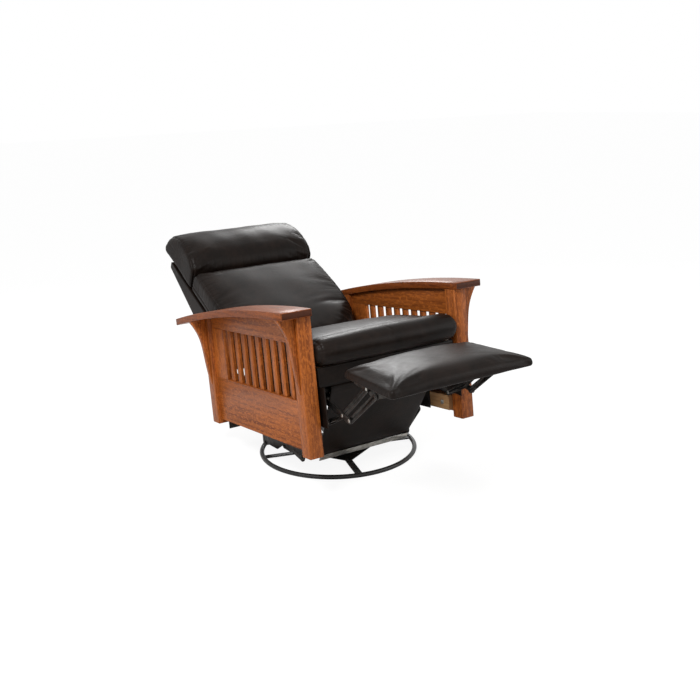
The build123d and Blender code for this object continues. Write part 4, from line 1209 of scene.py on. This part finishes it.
class Upholstery:
    """What the padded sub-assemblies share."""

    def __init__(self, finishes: Finishes) -> None:
        """Keeps the finishes."""
        self.finishes = finishes

    def shape(self, name: str, surface: Surface, where: Matrix) -> Piece:
        """A leather piece whose surface is drawn in a local frame."""
        vertices, faces = surface
        return make_piece(name, place(vertices, where), faces, self.finishes.leather)

    def cushion(self, name: str, loops: Array, where: Matrix, swelling: Swelling,
                held: Callable[[Array], Array], relief: Callable[[Array], Array]) -> Piece:
        """A cushion: filled from inside, then drawn in along its normals at its seams.

        Args:
            name: The piece's name.
            loops: Its start shape.
            where: The frame of the loops, and in which held and relief look at the points.
            swelling: How it is filled.
            held: Gives True for each point that stays.
            relief: Gives the depth at each point.

        Returns:
            The piece.
        """
        piece = self.shape(name, skin(loops), where)
        swelling.fill(piece, where, held)
        points = vertex_places(piece.data)
        depth = relief(place(points, where.inverted()))
        move_vertices(piece.data, points - vertex_normals(piece.data) * depth[:, None])
        return piece

    def finish(self, piece: Piece, body: str, nodes: tuple[str, ...], fill: float | None) -> None:
        """Attaches a finished piece to what it moves with, and hides the CAD nodes that it
        replaces.

        Args:
            piece: The piece.
            body: What it moves with.
            nodes: The CAD nodes that it replaces.
            fill: Not used; how tight its filling is, or None where it isn't padded.
        """
        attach(piece, body)
        if nodes:
            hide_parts(*nodes)
        LOG.info("%s: %d faces", piece.name, len(piece.data.polygons))


@dataclass(frozen=True)
class SeatSizes:
    """The seat's sizes, in the chair's frame."""

    half: float = 0.296
    front: float = -0.036
    roll: float = 0.0505
    bottom: float = 0.3003
    box_front: float = 0.012
    box_back: float = 0.515
    box_low: float = 0.232
    box_high: float = 0.300
    box_half: float = 0.286
    back: float = 0.518
    seam: float = 0.078
    seam_dip: float = 0.015
    rear_drop: float = 0.066
    crown: float = 0.014
    slope: float = 3.0
    edge_round: float = 0.030
    draw: float = 0.006
    bed: float = 0.006
    hold: float = 0.004
    end_inset: float = 0.013
    panel_strength: float = 0.6
    roll_seam: Seam = Seam(0.006, 0.006, 0.0012, 0.030, 0.031, 5)
    end_seam: Seam = Seam(0.003, 0.004, 0.0034, 0.022, 0.015, 8)
    slack: Slack = Slack(0.0022, 0.16, 11)
    swelling: Swelling = Swelling(cap=0.010)

    def fall(self, y: Array | float) -> Array | float:
        """How far the box has fallen at y."""
        return (y - self.box_front) * tan(radians(self.slope))


@dataclass(frozen=True)
class CoverSizes:
    """Sizes of the seat box's leather cover and of the skirts below it."""

    thick: float = 0.0016
    wall: float = 0.9          # share of the thickness that the inner face stands in
    corner: float = 0.0035
    skirt_front: float = -0.022
    skirt_back: float = 0.690
    skirt_low: float = 0.096
    skirt_round: float = 0.0765    # room round the back's hinge
    skirt_lap: float = 0.004
    skirt_inset: float = 0.0010
    sag: float = 0.002
    sag_rate: float = 70.0
    wave: float = 0.0010
    wave_rate: float = 55.0
    square: float = 0.5


@dataclass(frozen=True)
class PanelSizes:
    """Sizes of the padded panel below the seat."""

    slope: float = 33.4
    thick: float = 0.014
    half_top: float = 0.233
    half_foot: float = 0.195
    foot: float = -0.066
    head_back: float = 0.022
    edge_thick: float = 0.35    # share of the thickness at its upper and lower edge
    edge_share: float = 0.05
    square_wide: float = 0.12
    square_deep: float = 0.5


class Seat(Upholstery):
    """Seat cushion with its front roll, the covered box and the panel below."""

    sizes = SeatSizes()
    covering = CoverSizes()
    panel = PanelSizes()

    def cushion_loops(self) -> Array:
        """Profiles of the cushion across its width: the round roll, the seam, the long panel.

        Each is a closed row of arcs through the roll, the seam and the rear edge, drawn in
        by a share of the width to the fourth power and by the rounding of its ends.

        Returns:
            (stations, points, 3) loops.
        """
        size = self.sizes
        x = across_stations(size.half, size.edge_round, 41, 9)
        inset = size.draw * (x / size.half) ** 4 + end_rounding(x, size.half, size.edge_round)
        roll, bottom = size.roll, size.bottom
        crest = bottom + 2 * roll
        centre_y, centre_z, reach = size.front + roll, bottom + roll, roll - inset
        slant = reach * np.sqrt(0.5)
        top = pairs(centre_y, centre_z + reach, x)
        front = pairs(centre_y - reach, centre_z, x)
        under = pairs(centre_y, bottom + inset, x)
        seam = pairs(size.seam, crest - size.seam_dip - inset, x)
        rear_top = pairs(size.back - inset - roll / 2, crest - size.rear_drop - inset, x)
        rear_low = bottom - size.fall(size.back)
        rear = pairs(size.back - inset, (rear_top[:, 1] + rear_low) / 2, x)
        rear_foot = pairs(size.back - inset - roll / 4, rear_low + inset, x)
        back_roll = (top + seam) / 2 + np.array((0.0, size.crown / 2.2))
        panel = (seam + rear_top) / 2 + np.array((0.0, size.crown))
        bulge = (rear_top + rear) / 2 + roll / 8
        return loops_across(x, [
            arc(top, pairs(centre_y - slant, centre_z + slant, x), front, 14),
            arc(front, pairs(centre_y - slant, centre_z - slant, x), under, 14),
            line(under, rear_foot, 40),
            line(rear_foot, rear, 5),
            arc(rear, bulge, rear_top, 8),
            arc(rear_top, panel, seam, 40),
            arc(seam, back_roll, top, 12),
        ])

    def on_box(self, points: Array) -> Array:
        """The cushion's underside, which lies on the seat box, the seam and the sewn ends.

        Args:
            points: (n, 3) places in the chair's frame.

        Returns:
            Whether each is held.
        """
        size = self.sizes
        x, y, z = points.T
        under = (z < size.bottom - size.fall(y) + size.bed) & (y > size.box_front)
        sewn = (np.abs(y - size.seam) < size.hold) & (z > size.bottom + size.roll)
        return under | sewn | (np.abs(x) > size.half - size.hold)

    def relief(self, points: Array) -> Array:
        """Seams behind the roll and round the cushion's ends, and the slack between them.

        Args:
            points: (n, 3) places in the chair's frame.

        Returns:
            The depth at each.
        """
        size = self.sizes
        x, y, z = points.T
        middle_y, middle_z = size.front + size.roll, size.bottom + size.roll
        upper = z > middle_z
        behind = size.roll_seam.relief(y - size.seam, x, 1.0 * upper)
        turn = np.arctan2(middle_y - y, z - middle_z) * size.roll
        along = np.where((y > middle_y) & upper, middle_y - y, turn)
        strength = np.where(y < middle_y, 1.0, size.panel_strength)
        ends = size.end_seam.relief(size.half - size.end_inset - np.abs(x), along, strength)
        return behind + ends + size.slack.relief(points)

    def build(self) -> None:
        """Makes the cushion, the box's cover, its skirts and the panel."""
        piece = self.cushion("seat_pad", self.cushion_loops(), PLACES.chair(),
                             self.sizes.swelling, self.on_box, self.relief)
        self.finish(piece, "seat", ("seat_cushion",), 0.8)
        for name, surface, nodes, fill in (
                ("seat_box_cover", self.cover_surface(), (), None),
                ("seat_box_skirts", self.skirt_surface(), (), None),
                ("kick_pad", self.panel_surface(), ("kick_panel",), 0.9)):
            self.finish(self.shape(name, surface, PLACES.chair()), "seat", nodes, fill)

    def cover_surface(self) -> Surface:
        """Leather over the four outer faces of the seat box, its edges rounded.

        The plan is a rectangle with a quarter circle at each corner. It is raised outside
        from the lower edge to the upper and brought down again inside, as a closed ring.

        Returns:
            Vertices and faces.
        """
        size, cover = self.sizes, self.covering
        edge, half = cover.corner, size.box_half + cover.thick
        front, back = size.box_front - cover.thick, size.box_back + cover.thick
        corners = []
        for side, y, inward, turn in ((-1, front, edge, 180), (1, front, edge, 270),
                                      (1, back, -edge, 0), (-1, back, -edge, 90)):
            angle = np.radians(np.linspace(turn, turn + 90, 7))
            middle = np.array((side * (half - edge), y + inward))
            corners.append(middle + edge * np.stack((np.cos(angle), np.sin(angle)), axis=-1))
        plan = np.concatenate(corners)
        levels = np.linspace(0.0, 1.0, 7)[:, None]
        depth = size.box_high + cover.thick - size.box_low
        z = size.box_low + depth * levels - size.fall(plan[None, :, 1])
        outer = np.stack((np.broadcast_to(plan[:, 0], z.shape),
                          np.broadcast_to(plan[:, 1], z.shape), z), axis=-1)
        wall = cover.wall * cover.thick
        inner = outer.copy()
        inner[..., 0] = plan[:, 0] * (1 - wall / half)
        inner[..., 1] = plan[:, 1] + np.where(plan[:, 1] < (front + back) / 2, wall, -wall)
        shell = np.concatenate((outer, inner[::-1]))
        index = np.arange(shell.shape[0] * shell.shape[1]).reshape(shell.shape[:2])
        below, around = np.roll(index, -1, axis=0), np.roll(index, -1, axis=1)
        faces = np.stack((index, below, np.roll(below, -1, axis=1), around), axis=-1)
        return shell.reshape(-1, 3), faces.reshape(-1, 4)

    def skirt_surface(self) -> Surface:
        """Leather that hangs down from the box's sides, thin, its lower edge a little wavy.

        Its section is a thin upright ring. The upper edge keeps below a circle round the
        back's hinge, the lower edge is a sine wave, and so is the sideways sway, which
        grows towards the lower edge.

        Returns:
            Vertices and faces.
        """
        size, cover = self.sizes, self.covering
        y = np.linspace(cover.skirt_front, cover.skirt_back, 61)
        turn = np.linspace(0.0, FULL_TURN, 40, endpoint=False)
        tall = squarer(np.sin(turn), cover.square)
        wide = squarer(np.cos(turn), cover.square) * cover.thick / 2
        hinge_y, hinge_z = PLACES.hinge[1:]
        under = hinge_z - np.sqrt(np.maximum(cover.skirt_round**2 - (y - hinge_y) ** 2, 0.0))
        high = np.minimum(size.box_low - size.fall(y) + cover.skirt_lap, under)
        low = cover.skirt_low + cover.sag * np.sin(y * cover.sag_rate)
        share = (tall + 1) / 2
        z = low[:, None] + (high - low)[:, None] * share[None, :]
        sway = cover.wave * np.sin(y * cover.wave_rate)[:, None] * (1 - share)[None, :]
        parts = []
        for side in (-1, 1):
            x = side * (size.box_half - cover.skirt_inset + wide[None, :] + sway)
            parts.append(skin(np.stack((x, np.broadcast_to(y[:, None], x.shape), z), axis=-1), 1))
        return joined(parts)

    def panel_surface(self) -> Surface:
        """The padded panel that slopes back below the seat.

        Its sections are level rings, wide and flat, that narrow to the foot in a straight
        line and thin out at both ends as the square root of the way in.

        Returns:
            Vertices and faces.
        """
        size, panel = self.sizes, self.panel
        head = size.box_low - size.fall(size.box_front + panel.head_back)
        share = np.linspace(0.0, 1.0, 19)
        z = head + (panel.foot - head) * share
        drop = (size.box_low - z) / (size.box_low - panel.foot)
        half = panel.half_top + (panel.half_foot - panel.half_top) * drop
        ends = np.sqrt(np.clip(np.minimum(share, 1 - share) / panel.edge_share, 0.0, 1.0))
        thin = panel.thick * (panel.edge_thick + (1 - panel.edge_thick) * ends)
        angle = np.linspace(0.0, FULL_TURN, 72, endpoint=False)
        x = half[:, None] * squarer(np.cos(angle), panel.square_wide)[None, :]
        deep = squarer(np.sin(angle), panel.square_deep)[None, :]
        middle = size.box_front + (size.box_low - z)[:, None] * tan(radians(panel.slope))
        y = middle + panel.thick / 2 + thin[:, None] / 2 * deep
        return skin(np.stack((x, y, np.broadcast_to(z[:, None], x.shape)), axis=-1), 3)


@dataclass(frozen=True)
class BackSizes:
    """The back's sizes, in its own frame: Y up the back, Z out of its face."""

    half: float = 0.286
    face: float = 0.071
    bed: float = -0.035
    seam: float = 0.472
    corner: float = 0.190
    corner_least: float = 1e-8     # least square of its circle's height
    crown: float = 0.009
    draw: float = 0.003
    edge_round: float = 0.020
    head_top: float = 0.757
    bulge: float = 0.112
    gap: float = 0.0003
    shell_half: float = 0.283
    shell_round: float = 0.012
    shell_foot: float = 0.015
    shell_top: float = 0.678
    top_depth: float = 0.036
    waist: float = 0.330
    waist_depth: float = 0.111
    foot_depth: float = 0.044
    bed_hold: float = 0.006
    hold: float = 0.004
    channel_floor: float = 0.6     # share of the face's height, up to which it is held
    edge_inset: float = 0.011
    edge_from: float = 0.012
    middle_strength: float = 0.3
    edge_seam: Seam = Seam(0.0035, 0.004, 0.0018, 0.018, 0.021, 4)
    side_seam: Seam = Seam(0.003, 0.004, 0.0010, 0.014, 0.024, 6)
    channel: Seam = Seam(0.004, 0.007, 0.0034, 0.030, 0.019, 9)
    pad_slack: Slack = Slack(0.0024, 0.18, 21)
    roll_slack: Slack = Slack(0.0024, 0.15, 23)
    swelling: Swelling = Swelling(cap=0.012)
    head_shares: tuple[tuple[float, float], ...] = (
        (0.0, 0.56), (0.12, 0.86), (0.31, 0.97), (0.54, 1.0), (0.76, 0.83), (0.93, 0.52),
        (1.0, 0.12))


class Back(Upholstery):
    """Back cushion, headrest roll and the shell behind them."""

    sizes = BackSizes()

    def stations(self) -> tuple[Array, Array]:
        """Places across the back, and how far the profiles are drawn in there.

        Returns:
            Both, one number for each station.
        """
        size = self.sizes
        x = across_stations(size.half, size.edge_round, 49, 9)
        return x, size.draw * (x / size.half) ** 4 + end_rounding(x, size.half, size.edge_round)

    def cushion_loops(self) -> Array:
        """Profiles of the back cushion: round foot, long crowned face, seam, flat bed.

        The foot rises at the sides by the sagitta of the corner's circle.

        Returns:
            (stations, points, 3) loops.
        """
        size = self.sizes
        x, inset = self.stations()
        out = np.clip(np.abs(x) - (size.half - size.corner), 0.0, size.corner)
        circle = np.sqrt(np.maximum(size.corner**2 - out**2, size.corner_least))
        foot = size.corner - size.face - circle + inset
        face = size.face - inset
        cut = face * (1 - np.sqrt(0.5))
        low_face = pairs(foot + face, face, x)
        bed_foot = pairs(foot + face / 8, size.bed + inset, x)
        top = size.seam - inset / 2
        shoulder = pairs(top - face / 3, face + size.crown / 4, x)
        seam = pairs(top, face * 2 / 3, x)
        bed_top = pairs(top, size.bed + inset, x)
        heel = pairs(foot, 0.0, x)
        middle = pairs((shoulder[:, 0] + low_face[:, 0]) / 2, face + size.crown, x)
        return loops_across(x, [
            line(heel, bed_foot, 5),
            line(bed_foot, bed_top, 40),
            line(bed_top, seam, 8),
            arc(seam, pairs(top - face / 10, face * 7 / 8, x), shoulder, 8),
            arc(shoulder, middle, low_face, 40),
            arc(low_face, pairs(foot + cut, face - cut, x), heel, 12),
        ])

    def head_loops(self) -> Array:
        """Profiles of the headrest roll, arcs through points at shares of its length and bulge.

        Returns:
            (stations, points, 3) loops.
        """
        size = self.sizes
        x, inset = self.stations()
        start = size.seam + size.gap
        length, bulge = size.head_top - start - inset, size.bulge - inset
        points = [pairs(start + length * along, bulge * out, x) for along, out in size.head_shares]
        heel = pairs(start + length * 0.95, size.bed + inset, x)
        bed = pairs(start, size.bed + inset, x)
        return loops_across(x, [
            arc(*points[0:3], 12),
            arc(*points[2:5], 16),
            arc(*points[4:7], 14),
            arc(points[6], pairs(start + length, size.bed * 0.6, x), heel, 6),
            line(heel, bed, 24),
            line(bed, points[0], 8),
        ])

    def shell_loops(self) -> Array:
        """Profiles of the shell: a wedge that is deepest at its waist, with rounded edges.

        Returns:
            (stations, points, 3) loops.
        """
        size = self.sizes
        x = across_stations(size.shell_half, size.shell_round, 33, 7)
        inset = end_rounding(x, size.shell_half, size.shell_round)
        front = size.bed - size.gap
        top = pairs(size.shell_top, front - size.top_depth + inset, x)
        waist = pairs(size.waist, front - size.waist_depth + inset, x)
        foot = pairs(size.shell_foot, front - size.foot_depth + inset, x)
        belly = pairs((size.waist + size.shell_foot) / 2, (waist[:, 1] * 3 + foot[:, 1]) / 4, x)
        low, high = pairs(size.shell_foot, front, x), pairs(size.shell_top, front, x)
        return loops_across(x, [
            line(foot, low, 5), line(low, high, 40), line(high, top, 5), line(top, waist, 30),
            arc(waist, belly, foot, 26),
        ])

    def on_shell(self, points: Array) -> Array:
        """The bed that both cushions lie on, the channel between them and the sewn ends.

        Args:
            points: (n, 3) places in the back's frame.

        Returns:
            Whether each is held.
        """
        size = self.sizes
        x, y, z = points.T
        channel = (np.abs(y - size.seam) < size.hold) & (z < size.face * size.channel_floor)
        return (z < size.bed + size.bed_hold) | channel | (np.abs(x) > size.half - size.hold)

    def gathers(self, points: Array) -> Array:
        """The sewn channel between the cushions, gathered most at its two ends.

        Its strength grows from the middle with the fourth power of the way out.

        Args:
            points: (n, 3) places in the back's frame.

        Returns:
            The depth at each.
        """
        size = self.sizes
        out = (np.abs(points[:, 0]) / size.half) ** 4
        strength = size.middle_strength + (1 - size.middle_strength) * out
        return size.channel.relief(points[:, 1] - size.seam, points[:, 0], strength)

    def pad_relief(self, points: Array) -> Array:
        """Seams of the back cushion: its front edges, its side panels and the channel.

        Args:
            points: (n, 3) places in the back's frame.

        Returns:
            The depth at each.
        """
        size = self.sizes
        x, y, z = points.T
        inward = size.half - size.edge_inset - np.abs(x)
        front = size.edge_seam.relief(inward, y, 1.0 * (z > size.edge_from))
        side = size.side_seam.relief(z, y, 1.0 * (np.abs(x) > size.half - size.edge_round))
        return front + side + self.gathers(points) + size.pad_slack.relief(points)

    def roll_relief(self, points: Array) -> Array:
        """Seams of the headrest roll: round its ends, and the channel.

        Args:
            points: (n, 3) places in the back's frame.

        Returns:
            The depth at each.
        """
        size = self.sizes
        x, y, z = points.T
        turn = np.arctan2(z - size.bulge / 3, y - (size.seam + size.head_top) / 2) * size.bulge
        ends = size.edge_seam.relief(size.half - size.edge_inset - np.abs(x), turn)
        return ends + self.gathers(points) + size.roll_slack.relief(points)

    def build(self) -> None:
        """Makes the two cushions and the shell."""
        where = PLACES.back()
        for name, loops, node, fill, relief in (
                ("back_pad", self.cushion_loops(), "back_cushion", 0.85, self.pad_relief),
                ("head_roll", self.head_loops(), "head_cushion", 0.75, self.roll_relief)):
            piece = self.cushion(name, loops, where, self.sizes.swelling, self.on_shell, relief)
            self.finish(piece, "back", (node,), fill)
        piece = self.shape("back_shell_cover", skin(self.shell_loops(), 3), where)
        self.finish(piece, "back", ("back_shell",), None)


@dataclass(frozen=True)
class FootSizes:
    """The footrest's sizes, in its own frame."""

    length: float = 0.300
    thick: float = 0.031
    crown: float = 0.024
    rim: float = 0.030
    half_rear: float = 0.269
    half_front: float = 0.288
    edge: float = 0.012
    low_inset: float = 0.6
    flatness: float = 3.2
    end_flatness: int = 5
    end_rise: float = 1.02
    bed: float = 0.004
    corner: float = 0.022
    pleats: Seam = Seam(0.0, 0.004, 0.0035, 0.014, 0.012, 12)
    slack: Slack = Slack(0.0010, 0.16, 31)
    swelling: Swelling = Swelling(voxel=0.006, shrink=0.0, pressure=4.0, cap=0.006)

    def half(self, y: Array) -> Array:
        """Half the width at y, which grows from the rear edge to the front."""
        return self.half_rear + (self.half_front - self.half_rear) * (-y / self.length)


class Footrest(Upholstery):
    """The padded footrest."""

    sizes = FootSizes()
    cut: float = 0.293     # how far a quarter circle's middle is from its corner, of its radius

    def edge_points(self, side: int, half: Array, low: Array, high: Array) -> list[Array]:
        """Points up one edge of the section: a small arc, a short wall and a larger arc.

        Args:
            side: 1 or -1.
            half: Half the width at each station.
            low: Height of the underside there.
            high: Height of the rim there.

        Returns:
            Start, middle and end of the lower arc, and the same of the upper one.
        """
        soft = self.sizes.edge
        return [pairs(side * (half - inward), height, half) for inward, height in (
            (soft / 2, low), (soft / 8, low + soft / 8), (0.0, low + soft / 2),
            (0.0, high - soft), (soft * self.cut, high - soft * self.cut), (soft, high))]

    def pad_loops(self) -> Array:
        """Front views of the pad along its length: flat below, edges rounded, a pillow above.

        The top stands over the rim by rise * (1 - |x|^3.2) * (1.02 - |y|^5), x and y being
        shares of the half width and half length.

        Returns:
            (stations, points, 3) loops.
        """
        size = self.sizes
        y = across_stations(size.length / 2, size.edge, 25, 9) - size.length / 2
        middle = y + size.length / 2
        inset = end_rounding(middle, size.length / 2, size.edge)
        half = size.half(y) - inset
        low, high = inset * size.low_inset, size.rim - inset
        fade = size.end_rise - np.abs(2 * middle / size.length) ** size.end_flatness
        rise = (size.thick + size.crown - size.rim) * fade
        share = np.linspace(1.0, -1.0, 48, endpoint=False)[None, :]
        pillow = high[:, None] + rise[:, None] * (1 - np.abs(share) ** size.flatness)
        top = np.stack(((half - size.edge)[:, None] * share, pillow), axis=-1)
        right, left = (self.edge_points(side, half, low, high) for side in (1, -1))
        profile = np.concatenate([
            line(left[0], right[0], 30),
            arc(*right[:3], 5), line(*right[2:4], 4), arc(*right[3:], 6),
            top,
            arc(*left[:2:-1], 6), line(*left[3:1:-1], 4), arc(*left[2::-1], 5),
        ], axis=1)
        deep = np.broadcast_to(y[:, None], profile.shape[:2])
        return np.stack((profile[..., 0], deep, profile[..., 1]), axis=-1)

    def on_board(self, points: Array) -> Array:
        """The underside that is drawn over the board."""
        return points[:, 2] < self.sizes.bed

    def relief(self, points: Array) -> Array:
        """Pleats folded round the four corners, and the leather's slack.

        A pleat runs out from its corner, and fades with exp(-distance / corner).

        Args:
            points: (n, 3) places in the footrest's frame.

        Returns:
            The depth at each.
        """
        size = self.sizes
        x, y, z = points.T
        front = y < -size.length / 2
        forward, rearward = y + size.length - size.corner, -y - size.corner
        out_y = np.where(front, forward, rearward) * np.where(front, -1.0, 1.0)
        out_x = np.abs(x) - (size.half(y) - size.corner)
        turn = np.arctan2(np.where(front, -forward, -rearward), out_x)
        away = np.hypot(np.maximum(0.0, np.abs(out_x)), out_y) * (z < size.thick)
        fade = np.exp(-away / size.corner)
        pleats = size.pleats.relief(away - size.corner, turn * size.corner, fade)
        return size.slack.relief(points) + pleats

    def build(self) -> None:
        """Makes the pad."""
        piece = self.cushion("foot_pad", self.pad_loops(), PLACES.foot(),
                             self.sizes.swelling, self.on_board, self.relief)
        self.finish(piece, "footrest", ("footrest_pad",), 0.85)


@dataclass(frozen=True)
class Lamp:
    """A soft square lamp."""

    name: str
    where: Point
    size: float
    power: float


@dataclass(frozen=True)
class Studio:
    """Plain floor, soft light and the camera at the photograph's angle."""

    camera_place: Point = (-1.81002, -2.94497, 1.35344)
    azimuth: float = -32.5575
    elevation: float = 15.4505
    roll: float = -2.0410
    lens: float = 48.65
    sensor: float = 36.0
    floor_reach: float = 30.0
    floor_paint: Colour = (0.93, 0.93, 0.93, 1.0)
    floor_rough: float = 0.9
    floor_white: float = 1.10
    floor_cover: float = 0.82
    white: Colour = (1.0, 1.0, 1.0, 1.0)
    world_light: float = 0.46
    aim: Point = (0.0, 0.0, 0.4)
    lamps: tuple[Lamp, ...] = (
        Lamp("key", (-2.0, -1.3, 2.9), 1.0, 84.0),
        Lamp("sheen", (1.4, 2.1, 2.0), 0.9, 32.0),
        Lamp("fill", (2.4, -2.6, 1.6), 1.8, 22.0),
    )

    def build(self) -> None:
        """Sets up floor, world, lamps and camera."""
        bpy.context.scene.view_settings.view_transform = "Standard"
        self.build_floor()
        self.build_world()
        for lamp in self.lamps:
            self.add_lamp(lamp)
        self.build_camera()
        LOG.info("studio: %d lamps", len(self.lamps))

    def build_floor(self) -> None:
        """A wide pale floor that is mostly plain white to the camera."""
        reach = self.floor_reach
        corners = [(-reach, -reach, 0), (reach, -reach, 0), (reach, reach, 0), (-reach, reach, 0)]
        mesh = bpy.data.meshes.new("floor")
        mesh.from_pydata(corners, [], [(0, 1, 2, 3)])
        material, graph = new_material("floor")
        paint = {"Base Color": self.floor_paint, "Roughness": self.floor_rough}
        shader = graph.add("BsdfPrincipled", paint)
        white = graph.add("Emission", {"Color": self.white, "Strength": self.floor_white})
        path = graph.add("LightPath")
        seen = graph.maths("MULTIPLY", path.outputs["Is Camera Ray"], self.floor_cover)
        shown = graph.add("MixShader", {0: seen, 1: shader.outputs[0], 2: white.outputs[0]})
        graph.add("OutputMaterial", {0: shown.outputs[0]})
        mesh.materials.append(material)
        floor = bpy.data.objects.new("floor", mesh)
        bpy.context.scene.collection.objects.link(floor)

    def build_world(self) -> None:
        """A white world to the camera and in reflections, and a plain soft light elsewhere."""
        world = bpy.data.worlds.new("studio")
        world.use_nodes = True
        bpy.context.scene.world = world
        graph = Graph(world.node_tree)
        path = graph.add("LightPath").outputs
        seen = graph.maths("MAXIMUM", path["Is Camera Ray"], path["Is Transmission Ray"])
        seen = graph.maths("MAXIMUM", seen, path["Is Glossy Ray"])
        strength = graph.maths("MULTIPLY_ADD", seen, 1.0 - self.world_light, self.world_light)
        background = graph.add("Background", {"Color": self.white, "Strength": strength})
        graph.add("OutputWorld", {0: background.outputs[0]})

    def add_lamp(self, lamp: Lamp) -> None:
        """Puts a lamp in its place and aims it at the chair.

        Args:
            lamp: Which lamp.
        """
        light = bpy.data.lights.new(lamp.name, "AREA")
        light.size = lamp.size
        light.energy = lamp.power
        holder = bpy.data.objects.new(lamp.name, light)
        holder.location = lamp.where
        away = Vector(lamp.where) - Vector(self.aim)
        holder.rotation_euler = away.to_track_quat("Z", "Y").to_euler()
        bpy.context.scene.collection.objects.link(holder)

    def build_camera(self) -> None:
        """The camera: turned about the upright, tipped by the elevation, then rolled."""
        camera = bpy.data.cameras.new("camera")
        camera.lens = self.lens
        camera.sensor_width = self.sensor
        holder = bpy.data.objects.new("camera", camera)
        turn = Matrix.Rotation(radians(self.azimuth), 4, "Z")
        tip = Matrix.Rotation(radians(90 - self.elevation), 4, "X")
        roll = Matrix.Rotation(radians(self.roll), 4, "Z")
        holder.matrix_world = Matrix.Translation(self.camera_place) @ (turn @ tip) @ roll
        bpy.context.scene.collection.objects.link(holder)
        bpy.context.scene.camera = holder


def main() -> None:
    """Dresses the chair, sub-assembly by sub-assembly."""
    logging.basicConfig(level=logging.INFO, format="%(name)s: %(message)s")
    finishes = Finishes()
    for sub_assembly in (OakWork, IronWork, Rivets, Seat, Back, Footrest):
        sub_assembly(finishes).build()
    Studio().build()


if __name__ == "__main__":
    main()
